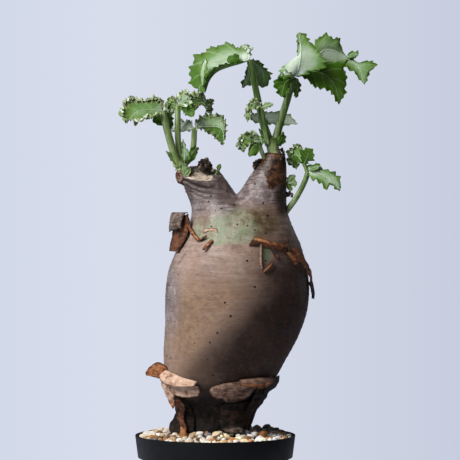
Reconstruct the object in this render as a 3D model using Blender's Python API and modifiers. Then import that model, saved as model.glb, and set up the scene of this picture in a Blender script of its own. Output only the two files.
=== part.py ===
"""A potted cyphostemma: a swollen two-horned caudex with crisped leaves, in a black nursery pot.

Run with: blender --background --python part.py
Every size below is in millimetres. The row frame has +Z up and its origin at the centre of the
pot's base. The two horns of the caudex lie along X, and -Y is the side that faces the viewer.
"""

import math
import random

import bmesh
import bpy
from mathutils import Matrix, Vector
from mathutils.bvhtree import BVHTree

MM = 0.001

# Running gap between pieces that touch
SEAT_GAP = 0.3

# Nursery pot
POT_HEIGHT = 80.0
POT_RIM_RADIUS = 45.0
RIM_BAND_HEIGHT = 12.5
RIM_BAND_TAPER = 1.6
RIM_STEP = 2.2
BASE_RADIUS = 31.0
BASE_CHAMFER = 1.2
POT_WALL = 1.2
POT_BASE_THICKNESS = 1.6
TURNED_STEPS = 48
DRAIN_COUNT = 6
DRAIN_CIRCLE_RADIUS = 25.0
DRAIN_HOLE_RADIUS = 2.6

# Fill of the pot
SOIL_TOP = 72.0
GRAVEL_BED_TOP = 77.0
PEBBLE_RADIUS = (2.7, 3.8)
PEBBLE_COUNT = 62
PEBBLE_RISE = 0.9

# Caudex below the gravel: a plain round root in a plain round hole
ROOT_CENTRE_X = -0.5
ROOT_STATIONS = ((50.0, 8.5), (62.0, 12.5), (78.0, 17.0))
ROOT_CLEARANCE = 0.6

# Caudex above the gravel: height, left edge, right edge, half depth
TRUNK_STATIONS = (
    (90.0, -17.2, 17.8, 17.5),
    (100.0, -22.4, 24.8, 23.0),
    (110.0, -27.4, 32.4, 29.0),
    (125.0, -28.8, 40.8, 34.5),
    (143.0, -28.0, 49.2, 38.5),
    (160.0, -27.8, 52.4, 39.0),
    (176.0, -25.0, 50.8, 36.5),
    (190.0, -17.8, 46.6, 31.0),
    (203.0, -13.4, 39.8, 23.0),
)
TRUNK_SIDES = 16
FORK_HEIGHT = 214.5
FORK_X = 11.4
SADDLE_DEPTH = 13.0
SADDLE_DROP = 4.5

# Horns: centre x, centre z, radius along X, half depth, lean from upright and tilt of the ring
# towards the viewer, both in degrees (a lean to the right is positive)
LEFT_HORN = (
    (-1.8, 213.0, 12.6, 14.5, -22.0, 0.0),
    (-5.6, 220.0, 11.6, 12.4, -22.0, 6.0),
    (-8.8, 226.0, 11.0, 11.2, -12.0, 16.0),
    (-10.0, 229.4, 10.0, 10.0, -6.0, 20.0),
)
RIGHT_HORN = (
    (26.2, 214.0, 13.6, 14.0, 4.0, 0.0),
    (29.2, 222.5, 10.9, 11.0, 8.0, 0.0),
    (32.0, 230.5, 8.0, 8.4, 8.0, 0.0),
    (33.8, 238.6, 5.9, 6.0, 4.0, 0.0),
)
HORN_SIDES = 12

# Dried wood grown into the horns: centre and radii
NUB = ((-18.6, -1.0, 226.2), (5.2, 5.4, 5.6))
DRY_STUBS = (
    ((-6.2, 2.0, 231.0), (3.3, 3.1, 4.2)),
    ((24.6, -2.0, 230.8), (3.2, 2.8, 3.4)),
    ((40.2, -2.0, 214.8), (2.2, 1.8, 1.6)),
)

# Leaf stalks and leafy stems: radius at the foot and at the top, then the points they run through.
# The first entry of each shoot is its foot, which stands in a socket of the caudex.
RIGHT_STALKS = {
    "stem": (3.3, 3.9, ((33.0, 0.0, 237.0), (32.3, 0.0, 241.5), (31.8, 0.0, 246.6))),
    "tall": (2.1, 1.8, ((30.4, -1.0, 242.6), (27.0, -1.5, 253.8), (22.8, -2.0, 273.4), (19.3, -3.0, 290.2))),
    "fan": (2.3, 1.9, ((33.0, 0.0, 242.7), (36.6, 1.0, 255.6), (39.7, 1.0, 265.7), (44.2, 0.0, 280.9))),
    "young": (1.2, 1.0, ((29.5, -3.0, 243.6), (27.8, -5.0, 254.2), (26.1, -5.0, 263.1))),
    "rear": (1.2, 1.0, ((31.9, 3.0, 245.0), (32.1, 10.0, 251.6), (32.4, 15.5, 258.8))),
}
LEFT_STALKS = {
    "stem": (3.0, 4.0, ((-19.0, -1.0, 228.4), (-19.2, -1.0, 231.4), (-19.2, -1.0, 234.0))),
    "outer": (2.1, 2.0, ((-20.9, -2.0, 230.8), (-25.0, -4.0, 243.9), (-29.6, -5.0, 261.5))),
    "middle": (1.8, 1.6, ((-19.6, 0.0, 231.4), (-21.0, 0.0, 245.5), (-21.1, 0.0, 265.1))),
    "inner": (1.7, 1.6, ((-17.6, 1.0, 231.4), (-14.0, 4.0, 236.4), (-12.3, 4.0, 242.8), (-11.8, 4.0, 252.4))),
}
INNER_STALKS = {"stalk": (1.3, 1.2, ((29.0, -2.5, 232.0), (26.1, -5.0, 238.5), (24.2, -6.0, 244.1)))}
SIDE_STALKS = {
    "stalk": (1.7, 1.5, ((37.9, -1.6, 203.0), (44.7, -3.0, 211.9), (49.4, -4.0, 220.5), (51.9, -4.0, 226.9))),
    "rachis": (1.2, 1.0, ((51.9, -4.0, 226.0), (50.5, -4.0, 230.2), (49.4, -4.0, 232.1))),
}
BUD_STALKS = {"stalk": (0.9, 0.8, ((38.0, -1.2, 218.5), (39.1, -1.5, 219.6), (40.8, -2.0, 221.3)))}
SPROUT_STALKS = {"stalk": (0.9, 0.8, ((-0.8, -1.6, 224.4), (1.0, -2.2, 227.0), (1.8, -2.6, 228.6)))}
SOCKET_DEPTH = 2.6

# Leaflets: foot, middle and tip of the midrib, then the reach of each half blade from the middle
RIGHT_LEAFLETS = {
    "arching": ((19.2, -3.0, 290.4), (1.8, -8.0, 284.8), (-5.7, -11.0, 271.5), (-7.3, 6.0, 11.8), (-2.2, -9.0, 3.4)),
    "crisped": ((18.8, -2.6, 291.2), (18.2, -1.0, 296.4), (17.2, 0.0, 300.1), (-2.2, 1.6, 0.0), (1.7, -1.6, 0.0)),
    "hanging": ((19.7, -2.0, 290.0), (26.3, 6.0, 284.5), (26.3, 9.0, 275.0), (5.1, 3.0, 1.7), (-4.5, -2.0, -1.7)),
    "behind": ((19.5, -2.0, 289.6), (18.4, 5.0, 282.3), (15.3, 9.0, 274.8), (-2.2, 0.0, 0.6), (3.4, 1.0, -1.7)),
    "fan": ((44.6, 0.0, 281.2), (45.8, -3.0, 293.5), (47.0, 2.0, 306.4), (15.2, -10.0, -1.1), (-0.8, 9.0, 0.4)),
    "fan_low": ((44.8, -1.0, 281.4), (41.2, -6.0, 285.2), (35.8, -10.0, 283.0), (0.6, 1.0, 3.4), (0.0, -1.0, -2.2)),
    "drooping": ((45.0, 0.6, 281.8), (63.4, 4.0, 282.8), (69.9, 6.0, 265.7), (7.9, 3.0, 6.2), (-5.1, -2.0, -6.2)),
    "rear": ((45.2, 1.2, 281.8), (60.3, 12.0, 292.3), (76.3, 15.0, 292.4), (-1.7, 4.0, 12.9), (0.0, -3.0, -2.8)),
    "rear_tip": ((73.4, 15.0, 292.6), (80.1, 13.0, 288.2), (84.0, 11.0, 277.0), (7.3, 3.0, 3.4), (-1.7, -3.0, -2.2)),
    "rear_curl": ((75.0, 15.0, 292.0), (78.4, 13.0, 293.9), (80.8, 10.0, 295.4), (-1.1, 0.0, 1.1), (1.7, 0.0, -1.7)),
    "under": ((44.2, -1.0, 280.6), (37.9, -5.0, 276.1), (37.3, -7.0, 268.7), (-5.1, -2.0, 1.1), (3.4, 2.0, -1.7)),
    "under_back": ((44.4, 1.0, 280.4), (46.3, 4.0, 275.0), (45.2, 6.0, 269.3), (2.0, 0.6, 0.0), (-1.7, -0.6, 0.0)),
    "young": ((26.1, -5.0, 263.1), (20.8, -7.0, 265.9), (17.9, -9.0, 255.2), (-1.7, 1.0, 3.4), (1.1, -1.0, -2.2)),
    "young_tip": ((26.1, -5.0, 263.1), (29.5, -5.0, 264.3), (32.6, -5.0, 265.7), (0.0, 1.0, 1.4), (0.0, -1.0, -1.4)),
    "rear_low": ((19.1, 14.0, 259.7), (32.7, 16.0, 259.0), (46.9, 15.0, 255.2), (0.0, 1.0, 3.9), (0.0, -1.0, -3.9)),
    "bud": ((34.4, -1.6, 241.8), (37.4, -3.0, 245.3), (38.2, -3.0, 250.1), (1.7, 0.0, -0.6), (-1.1, 0.0, 0.0)),
}
LEFT_LEAFLETS = {
    "outer": ((-29.5, -5.0, 261.5), (-40.3, -9.0, 262.4), (-50.3, -12.0, 254.8), (0.6, 5.0, 7.3), (0.6, -4.0, -5.1)),
    "outer_low": ((-29.2, -4.6, 261.4), (-26.8, -1.0, 257.8), (-25.5, 2.4, 252.8), (-2.2, 0.0, -0.6), (2.2, 0.0, 0.6)),
    "middle": ((-20.9, 0.4, 265.1), (-10.4, 6.0, 270.2), (-1.6, 10.0, 260.5), (0.6, 3.0, 4.5), (-1.1, -2.0, -2.8)),
    "middle_low": ((-20.9, -0.4, 265.1), (-15.3, -5.0, 264.0), (-12.4, -7.0, 258.1), (1.7, 0.0, 2.8), (-2.2, 0.0, -1.7)),
    "middle_back": ((-21.2, 0.4, 265.1), (-25.4, 5.0, 266.6), (-25.1, 8.0, 259.8), (-1.1, 1.0, 2.8), (1.7, -1.0, -1.7)),
    "inner": ((-11.7, 3.8, 252.2), (-1.9, 1.0, 252.8), (4.4, -2.0, 242.2), (2.2, 3.0, 7.3), (-1.7, -3.0, -2.8)),
    "inner_back": ((-12.0, 4.2, 251.8), (-18.2, 7.0, 253.5), (-25.3, 9.0, 250.7), (0.0, 1.0, 3.4), (0.0, -1.0, -2.2)),
    "spire": ((-17.6, -2.4, 231.4), (-17.5, -5.0, 238.6), (-18.3, -6.0, 245.8), (1.7, 0.0, 0.0), (-1.7, 0.0, 0.0)),
    "low_right": ((-16.9, -1.6, 231.9), (-13.1, -3.4, 237.0), (-11.4, -4.4, 242.8), (-1.7, 0.0, 0.0), (3.4, -1.0, 0.0)),
    "low_left": ((-21.4, -2.0, 231.9), (-25.3, -5.0, 235.5), (-27.9, -6.0, 239.6), (0.8, 0.0, 0.8), (-0.6, 0.0, -1.1)),
}
INNER_LEAFLETS = {
    "crisped": ((24.2, -6.0, 243.8), (17.7, -8.0, 246.2), (12.7, -10.0, 240.1), (-0.6, 1.0, 4.5), (1.1, -1.0, -2.8)),
    "smooth": ((24.2, -6.0, 243.8), (20.8, -9.0, 240.6), (18.3, -10.0, 235.8), (-2.8, -1.0, 0.6), (2.2, 1.0, -1.1)),
    "small": ((25.0, -5.4, 241.6), (26.4, -6.0, 244.7), (25.0, -6.0, 248.3), (1.1, 0.0, 0.0), (-1.1, 0.0, 0.0)),
}
SIDE_LEAFLETS = {
    "long": ((51.6, -4.0, 227.4), (59.7, -6.0, 226.5), (70.0, -8.0, 216.7), (3.4, 2.0, 4.5), (-2.2, -2.0, -3.9)),
    "lobe": ((56.2, -5.2, 227.9), (58.8, -7.0, 222.3), (61.7, -8.0, 217.4), (-2.2, 0.0, -0.6), (2.2, 0.0, 0.6)),
    "back": ((49.7, -4.0, 231.6), (46.4, 1.0, 235.0), (43.4, 5.0, 230.8), (-0.6, 1.0, 5.4), (1.2, -1.0, -3.2)),
    "bright": ((49.4, -4.0, 231.3), (51.3, -6.0, 236.3), (52.1, -7.0, 241.2), (-3.4, 0.0, 0.0), (3.9, 0.0, 1.1)),
}
BUD_LEAFLETS = {
    "upper": ((40.5, -2.0, 221.0), (42.7, -3.0, 223.2), (45.4, -3.0, 224.6), (-0.6, 0.0, 2.2), (1.1, 0.0, -2.2)),
    "lower": ((40.6, -2.0, 221.0), (42.3, -3.0, 219.2), (42.5, -3.6, 217.4), (1.1, 0.0, 0.0), (-0.9, 0.0, 0.0)),
}
SPROUT_LEAFLETS = {
    "tip": ((1.8, -2.6, 228.4), (2.1, -3.0, 230.0), (2.6, -3.2, 231.8), (-1.1, 0.0, 0.6), (1.1, 0.0, -0.6)),
}
LEAFLET_GRIDS = ((18.0, (8, 4)), (9.0, (7, 2)), (0.0, (4, 2)))
LEAF_THICKNESS = 0.75
LEAF_WIDEST = 0.9
LEAF_FULLNESS = 0.62
LEAF_END_HALF_WIDTH = 0.85
TOOTH_DEPTH = 0.16
RUFFLE = 0.07

# Peeling bark. Each row of a flake: angle round the trunk (0 is +X, 270 the viewer's side), height
# and lift off the bark at its one end, then the same at its other end. Rows run from where the
# flake still holds on to its free edge.
BARK_FLAKES = {
    "bark_tab_left": ((204, 121, 0.4, 172, 121, 0.4), (203, 119, 3.5, 174, 118, 5.0), (200, 115, 6.0, 176, 114, 10.0)),
    "bark_plate_left": ((186, 116, 0.5, 240, 112, 0.4), (186, 111, 2.8, 244, 107, 1.8), (192, 105, 4.6, 247, 101, 3.6)),
    "bark_strip_left": ((176, 111, 0.5, 210, 106, 0.5), (176, 97, 3.0, 208, 95, 2.6), (172, 84, 8.0, 206, 83, 5.0)),
    "bark_plate_front": (
        (262, 107, 0.5, 350, 113, 0.6),
        (263, 104, 2.0, 350, 110, 2.0),
        (266, 99, 3.8, 346, 106, 3.6),
    ),
    "bark_fold_right": ((322, 104, 0.5, 362, 107, 0.5), (318, 95, 2.0, 358, 96, 2.2), (314, 83, 2.6, 356, 83, 2.4)),
    "bark_plate_low": ((276, 98, 0.5, 312, 98, 0.5), (276, 91, 2.4, 312, 91, 2.6), (278, 83, 4.2, 311, 83, 5.0)),
    "bark_flap_shoulder": (
        (203, 183, 0.6, 178, 183, 3.0),
        (204, 193, 1.4, 176, 192, 6.0),
        (201, 204, 4.6, 178, 203, 9.6),
    ),
    "bark_curl_shoulder": ((209, 188, 0.5, 226, 187, 0.5), (209, 193, 1.6, 226, 192, 1.8), (210, 198, 4.0, 224, 196, 3.4)),
    "bark_curl_front": ((231, 182, 0.5, 240, 182, 0.5), (231, 185, 1.2, 240, 185, 1.6), (233, 189, 2.8, 240, 189, 3.0)),
    "bark_edge_right": ((281, 181, 0.5, 318, 181, 0.5), (279, 186, 1.4, 319, 186, 1.6), (278, 191, 3.2, 317, 189, 3.4)),
    "bark_window_left": ((282, 179, 0.5, 289, 179, 0.5), (282, 175, 1.4, 290, 175, 1.6), (284, 170, 2.6, 293, 169, 3.2)),
    "bark_window_right": ((297, 179, 0.5, 307, 179, 0.5), (298, 174, 1.6, 308, 174, 2.0), (298, 169, 3.0, 306, 168, 3.4)),
    "bark_strip_right": ((322, 182, 0.5, 352, 179, 0.6), (326, 177, 1.4, 355, 174, 1.6), (334, 172, 2.2, 358, 168, 2.6)),
    "bark_tag_right": ((339, 165, 0.5, 356, 165, 0.6), (340, 161, 1.0, 357, 160, 1.8), (342, 157, 1.4, 356, 155, 2.4)),
    "bark_skirt_back_right": ((12, 112, 0.5, 62, 111, 0.5), (12, 104, 2.4, 62, 103, 2.2), (16, 95, 4.2, 60, 96, 3.6)),
    "bark_skirt_back": ((72, 110, 0.5, 112, 112, 0.5), (72, 103, 2.0, 113, 104, 2.2), (76, 96, 3.4, 110, 95, 4.0)),
    "bark_skirt_back_left": ((122, 112, 0.5, 164, 110, 0.5), (121, 103, 2.2, 164, 102, 2.4), (124, 94, 3.8, 162, 95, 3.4)),
}
BARK_THICKNESS = 0.8
BARK_CELL = 4.5
BARK_RAGGEDNESS = 0.28


def mm(x, y, z):
    """A point of the row frame, from millimetres to metres."""
    return Vector((x, y, z)) * MM


def clear_scene():
    """Removes whatever the file holds."""
    for obj in list(bpy.data.objects):
        bpy.data.objects.remove(obj)


def finish(name, colour, roughness):
    """A plain Principled material."""
    material = bpy.data.materials.new(name)
    material.use_nodes = True
    shader = material.node_tree.nodes["Principled BSDF"]
    shader.inputs["Base Color"].default_value = (*colour, 1.0)
    shader.inputs["Roughness"].default_value = roughness
    shader.inputs["Metallic"].default_value = 0.0
    return material


def add_object(name, mesh, collection, material=None):
    """Links a mesh as a named object."""
    obj = bpy.data.objects.new(name, mesh)
    collection.objects.link(obj)
    if material is not None:
        mesh.materials.clear()
        mesh.materials.append(material)
    return obj


def mesh_from(bm, name):
    """Turns a bmesh into a mesh and frees it."""
    mesh = bpy.data.meshes.new(name)
    bm.to_mesh(mesh)
    bm.free()
    return mesh


def evaluated_copy(obj, weld=0.0):
    """The object's mesh with its modifiers or curve bevel worked out, in world space."""
    bpy.context.view_layer.update()
    graph = bpy.context.evaluated_depsgraph_get()
    mesh = bpy.data.meshes.new_from_object(obj.evaluated_get(graph))
    mesh.transform(obj.matrix_world)
    bm = bmesh.new()
    bm.from_mesh(mesh)
    if weld:
        bmesh.ops.remove_doubles(bm, verts=bm.verts, dist=weld)
    bmesh.ops.recalc_face_normals(bm, faces=bm.faces)
    bm.to_mesh(mesh)
    bm.free()
    return mesh


def unite(name, objects, collection, material):
    """Joins the objects into one body by a Boolean union, and removes them."""
    body, rest = objects[0], objects[1:]
    group = bpy.data.collections.new(name + "_pieces")
    bpy.context.scene.collection.children.link(group)
    for piece in rest:
        for owner in list(piece.users_collection):
            owner.objects.unlink(piece)
        group.objects.link(piece)
    union = body.modifiers.new("union", "BOOLEAN")
    union.operation = "UNION"
    union.operand_type = "COLLECTION"
    union.collection = group
    union.solver = "MANIFOLD"
    mesh = evaluated_copy(body)
    for piece in objects:
        bpy.data.objects.remove(piece)
    bpy.data.collections.remove(group)
    return add_object(name, mesh, collection, material)


def pot_outline():
    """The pot's section, from the centre of its floor up the inside, over the rim and down the outside."""
    band_foot = POT_HEIGHT - RIM_BAND_HEIGHT
    band_radius = POT_RIM_RADIUS - RIM_BAND_TAPER
    body_radius = band_radius - RIM_STEP
    return (
        (0.0, POT_BASE_THICKNESS),
        (BASE_RADIUS - POT_WALL, POT_BASE_THICKNESS),
        (body_radius - POT_WALL, band_foot - 1.0),
        (band_radius - POT_WALL, band_foot + 1.2),
        (POT_RIM_RADIUS - POT_WALL, POT_HEIGHT),
        (POT_RIM_RADIUS, POT_HEIGHT),
        (band_radius, band_foot),
        (body_radius, band_foot),
        (BASE_RADIUS, BASE_CHAMFER),
        (BASE_RADIUS - BASE_CHAMFER, 0.0),
        (0.0, 0.0),
    )


def inner_radius(height):
    """The pot's inside radius at a height."""
    wall = pot_outline()[1:5]
    for (r0, z0), (r1, z1) in zip(wall, wall[1:]):
        if z0 <= height <= z1:
            return r0 + (r1 - r0) * (height - z0) / (z1 - z0)
    return wall[-1][0]


def shade_round(mesh):
    """Shades a mesh smooth and keeps its sharper edges crisp."""
    mesh.shade_smooth()
    mesh.set_sharp_from_angle(angle=math.radians(35))
    return mesh


def turned(name, outline, collection, material=None):
    """A solid turned about Z from an outline of (radius, height), run down its outer side."""
    bm = bmesh.new()
    points = [bm.verts.new(mm(r, 0.0, z)) for r, z in outline]
    for a, b in zip(points, points[1:]):
        bm.edges.new((a, b))
    profile = add_object(name, mesh_from(bm, name), collection)
    screw = profile.modifiers.new("turn", "SCREW")
    screw.steps = screw.render_steps = TURNED_STEPS
    screw.use_merge_vertices = True
    screw.merge_threshold = 0.00001
    mesh = shade_round(evaluated_copy(profile, weld=0.002 * MM))
    bpy.data.objects.remove(profile)
    return add_object(name, mesh, collection, material)


def cylinder_between(name, start, end, radius, sides, collection):
    """A plain cylinder from one point to another, in metres."""
    axis = end - start
    bm = bmesh.new()
    bmesh.ops.create_cone(
        bm,
        cap_ends=True,
        segments=sides,
        radius1=radius,
        radius2=radius,
        depth=axis.length,
        matrix=Matrix.Translation((start + end) / 2) @ axis.to_track_quat("Z", "Y").to_matrix().to_4x4(),
    )
    return add_object(name, mesh_from(bm, name), collection)


def as_cutter(obj):
    """Marks an object as a cutter, which the build leaves out."""
    obj.hide_render = True
    obj.display_type = "WIRE"
    return obj


def cut(obj, cutters):
    """Cuts the cutters from an object."""
    for cutter in cutters:
        hole = obj.modifiers.new("hole", "BOOLEAN")
        hole.operation = "DIFFERENCE"
        hole.object = cutter
        hole.solver = "EXACT"


def make_pot(parts, cutters, plastic):
    """The black pot with its rim band and a ring of drain holes in its floor."""
    pot = turned("pot", pot_outline(), parts, plastic)
    drains = []
    for index in range(DRAIN_COUNT):
        angle = 2 * math.pi * (index + 0.37) / DRAIN_COUNT
        centre = mm(math.cos(angle) * DRAIN_CIRCLE_RADIUS, math.sin(angle) * DRAIN_CIRCLE_RADIUS, 0.0)
        drain = cylinder_between(
            f"drain_cutter_{index}",
            centre - mm(0, 0, 2.0),
            centre + mm(0, 0, POT_BASE_THICKNESS + 2.0),
            DRAIN_HOLE_RADIUS * MM,
            8,
            cutters,
        )
        drains.append(as_cutter(drain))
    cut(pot, drains)
    return pot


def root_cutter(cutters):
    """The plain round hole that the root stands in."""
    outline = [(0.0, GRAVEL_BED_TOP + 12.0)]
    (low_z, low_r), (mid_z, mid_r), (top_z, top_r) = ROOT_STATIONS
    outline.append((top_r + ROOT_CLEARANCE + 4.0, GRAVEL_BED_TOP + 12.0))
    outline.append((top_r + ROOT_CLEARANCE, top_z))
    outline.append((mid_r + ROOT_CLEARANCE, mid_z))
    outline.append((low_r + ROOT_CLEARANCE, low_z - SEAT_GAP))
    outline.append((0.0, low_z - SEAT_GAP))
    cutter = turned("root_cutter", outline, cutters)
    cutter.location = mm(ROOT_CENTRE_X, 0.0, 0.0)
    return as_cutter(cutter)


def make_soil(parts, cutter, peat):
    """The potting mix that fills the pot below the gravel."""
    floor = POT_BASE_THICKNESS + SEAT_GAP
    outline = (
        (0.0, SOIL_TOP),
        (inner_radius(SOIL_TOP) - SEAT_GAP, SOIL_TOP),
        (inner_radius(POT_HEIGHT - RIM_BAND_HEIGHT + 1.2) - SEAT_GAP, POT_HEIGHT - RIM_BAND_HEIGHT + 1.2),
        (inner_radius(POT_HEIGHT - RIM_BAND_HEIGHT - 1.0) - SEAT_GAP, POT_HEIGHT - RIM_BAND_HEIGHT - 1.0),
        (inner_radius(floor) - SEAT_GAP, floor),
        (0.0, floor),
    )
    soil = turned("potting_soil", outline, parts, peat)
    cut(soil, [cutter])
    return soil


def pebble_spots(rng):
    """Places for the pebbles: a sunflower layout over the bed, outside the root's hole, shaken a little."""
    outer = inner_radius(GRAVEL_BED_TOP) - SEAT_GAP
    inner = ROOT_STATIONS[-1][1] + ROOT_CLEARANCE
    golden = math.pi * (3 - math.sqrt(5))
    start = math.ceil(PEBBLE_COUNT * inner**2 / (outer**2 - inner**2))
    spots = []
    for index in range(start, start + PEBBLE_COUNT):
        reach = outer * math.sqrt((index + 0.5) / (start + PEBBLE_COUNT))
        angle = index * golden + rng.uniform(-0.05, 0.05)
        size = rng.uniform(*PEBBLE_RADIUS)
        reach = min(max(reach, inner + size + 0.6), outer - size - 0.2)
        spots.append((math.cos(angle) * reach, math.sin(angle) * reach, size))
    return spots


def make_gravel(parts, cutter, stone):
    """The gravel dressing: a bed with pebbles sunk into it, fused into one body."""
    rng = random.Random(7)
    foot = SOIL_TOP + SEAT_GAP
    outline = (
        (0.0, GRAVEL_BED_TOP),
        (inner_radius(GRAVEL_BED_TOP) - SEAT_GAP, GRAVEL_BED_TOP),
        (inner_radius(foot) - SEAT_GAP, foot),
        (0.0, foot),
    )
    pieces = [turned("gravel_bed", outline, parts)]
    for index, (x, y, size) in enumerate(pebble_spots(rng)):
        bm = bmesh.new()
        turn = Matrix.Rotation(rng.uniform(0, math.pi), 4, "Z") @ Matrix.Rotation(rng.uniform(-0.3, 0.3), 4, "X")
        shape = Matrix.Diagonal((rng.uniform(0.95, 1.15), rng.uniform(0.8, 0.95), rng.uniform(0.62, 0.8), 1.0))
        place = Matrix.Translation(mm(x, y, GRAVEL_BED_TOP + PEBBLE_RISE * rng.uniform(0.4, 1.0)))
        bmesh.ops.create_uvsphere(
            bm, u_segments=6, v_segments=3, radius=size * MM, matrix=place @ turn @ shape
        )
        pieces.append(add_object(f"pebble_{index}", mesh_from(bm, "pebble"), parts))
    fused = unite("gravel_dressing", pieces, parts, stone)
    cut(fused, [cutter])
    return fused


def through(values):
    """Control values whose cubic B-spline, which Subdivision Surface follows, passes through the given ones."""
    control = list(values)
    for _ in range(30):
        for i in range(1, len(values) - 1):
            control[i] = (6 * values[i] - control[i - 1] - control[i + 1]) / 4
    return control


def ring_grow(sides):
    """How much wider a cage ring is than the round that Subdivision Surface makes of it."""
    return 6 / (4 + 2 * math.cos(2 * math.pi / sides))


def extrude_ring(bm, face, place):
    """Extrudes an end face and puts each new corner at place(its old corner). Gives the new end face."""
    made = bmesh.ops.extrude_discrete_faces(bm, faces=[face])["faces"]
    top = made[0]
    for vert in top.verts:
        vert.co = place(vert.co.copy())
    return top


def trunk_point(station, angle):
    """A corner of the trunk's cage at a station (height, left, right, half depth)."""
    height, left, right, depth = station
    grow = ring_grow(TRUNK_SIDES)
    centre, half = (left + right) / 2, (right - left) / 2
    return mm(centre + half * grow * math.cos(angle), depth * grow * math.sin(angle), height)


def horn_point(station, side, angle):
    """A corner of a horn's cage. side is 1 for the right horn and -1 for the left; angle 0 faces outwards."""
    x, z, half, depth, lean, tilt = station
    grow = ring_grow(HORN_SIDES)
    slope = math.radians(lean)
    out = half * grow * math.cos(angle) * side
    back = depth * grow * math.sin(angle)
    return mm(x + out * math.cos(slope), back, z - out * math.sin(slope) + back * math.tan(math.radians(tilt)))


def nearest(points, co):
    """The index of the point nearest to co."""
    return min(range(len(points)), key=lambda i: (points[i] - co).length_squared)


def caudex_cage():
    """The caudex's coarse cage: rings up the trunk, a saddle across its top, and a stack of rings for each horn."""
    stations = [(z, ROOT_CENTRE_X - r, ROOT_CENTRE_X + r, r) for z, r in ROOT_STATIONS] + list(TRUNK_STATIONS)
    columns = [through(column) for column in zip(*stations)]
    stations = list(zip(*columns))
    angles = [2 * math.pi * i / TRUNK_SIDES for i in range(TRUNK_SIDES)]

    bm = bmesh.new()
    bmesh.ops.create_circle(bm, cap_ends=True, segments=TRUNK_SIDES, radius=1.0)
    bm.faces.ensure_lookup_table()
    end = bm.faces[0]
    for vert in end.verts:
        vert.co = trunk_point(stations[0], math.atan2(vert.co.y, vert.co.x))
    for low, high in zip(stations, stations[1:]):
        corners = [trunk_point(low, a) for a in angles]
        end = extrude_ring(bm, end, lambda co: trunk_point(high, angles[nearest(corners, co)]))

    ring = [trunk_point(stations[-1], a) for a in angles]
    front, back = 3 * TRUNK_SIDES // 4, TRUNK_SIDES // 4
    ends = [min(end.verts, key=lambda v: (v.co - ring[i]).length) for i in (front, back)]
    _, crease = bmesh.utils.face_split(end, *ends)
    halves = sorted(crease.edge.link_faces, key=lambda f: f.calc_center_median().x)
    cut_points = bmesh.ops.subdivide_edges(bm, edges=[crease.edge], cuts=3)["geom_inner"]
    saddle = []
    for vert in sorted(cut_points, key=lambda v: v.co.y):
        y = SADDLE_DEPTH * (len(saddle) - 1)
        vert.co = mm(FORK_X, y, FORK_HEIGHT - (SADDLE_DROP if y else 0.0))
        saddle.append(vert.co.copy())

    for side, horn, face in ((-1, LEFT_HORN, halves[0]), (1, RIGHT_HORN, halves[1])):
        half_ring = [ring[(front + side * k) % TRUNK_SIDES] for k in range(TRUNK_SIDES // 2 + 1)]
        loop = half_ring + saddle[::-1]
        turns = [math.radians(-120 + 30 * k) for k in range(HORN_SIDES)]
        for station in horn:
            corners = loop
            loop = [horn_point(station, side, t) for t in turns]
            face = extrude_ring(bm, face, lambda co: loop[nearest(corners, co)].copy())
        x, z, half, depth, lean, tilt = horn[-1]
        corners = loop
        loop = [horn_point((x, z - 0.6, half * 0.62, depth * 0.62, lean, tilt), side, t) for t in turns]
        extrude_ring(bm, face, lambda co: loop[nearest(corners, co)].copy())
    bmesh.ops.holes_fill(bm, edges=[e for e in bm.edges if e.is_boundary])
    bmesh.ops.recalc_face_normals(bm, faces=bm.faces)
    return mesh_from(bm, "caudex")


def blob(name, centre, radii, subdivisions, collection):
    """An ellipsoid."""
    bm = bmesh.new()
    place = Matrix.Translation(mm(*centre)) @ Matrix.Diagonal((*radii, 1.0))
    bmesh.ops.create_icosphere(bm, subdivisions=subdivisions, radius=MM, matrix=place)
    return add_object(name, mesh_from(bm, name), collection)


def make_caudex(parts, sockets, bark):
    """The caudex with the dry wood grown into its horns, and the plain sockets that the shoots stand in."""
    cage = add_object("caudex_cage", caudex_cage(), parts)
    smooth = cage.modifiers.new("swell", "SUBSURF")
    smooth.levels = smooth.render_levels = 1
    body = add_object("caudex_body", evaluated_copy(cage), parts)
    bpy.data.objects.remove(cage)
    knobs = [blob(f"knob_{i}", *knob, 2, parts) for i, knob in enumerate((NUB, *DRY_STUBS))]
    caudex = unite("caudex", [body, *knobs], parts, bark)
    shade_round(caudex.data)
    cut(caudex, sockets)
    return caudex


def tube(name, foot_radius, top_radius, points, collection):
    """A round stalk through the points, with eight sides and closed ends."""
    curve = bpy.data.curves.new(name, "CURVE")
    curve.dimensions = "3D"
    curve.resolution_u = 2
    curve.bevel_depth = MM
    curve.bevel_resolution = 2
    curve.use_fill_caps = True
    spline = curve.splines.new("POLY")
    spline.points.add(len(points) - 1)
    for index, point in enumerate(points):
        share = index / (len(points) - 1)
        spline.points[index].co = (*mm(*point), 1.0)
        spline.points[index].radius = foot_radius + (top_radius - foot_radius) * share
    path = bpy.data.objects.new(name, curve)
    collection.objects.link(path)
    mesh = evaluated_copy(path, weld=0.002 * MM)
    bpy.data.objects.remove(path)
    return add_object(name, mesh, collection)


def blade_point(leaflet, along, across, outward, lift):
    """A point of a leaflet. across runs from -1 to 1 over its two half blades."""
    foot, middle, tip, first, second = (mm(*point) for point in leaflet)
    bend = 2 * middle - (foot + tip) / 2
    spine = (1 - along) ** 2 * foot + 2 * along * (1 - along) * bend + along**2 * tip
    heading = ((1 - along) * (bend - foot) + along * (tip - bend)).normalized()
    side = (tip - foot).rotation_difference(heading) @ (first if across < 0 else second)
    width = max(math.sin(math.pi * along**LEAF_WIDEST), 0.0) ** LEAF_FULLNESS
    reach = max(width * outward, LEAF_END_HALF_WIDTH * MM / side.length)
    normal = heading.cross(side).normalized()
    return spine + side * (abs(across) * reach) + normal * (lift * width)


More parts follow.
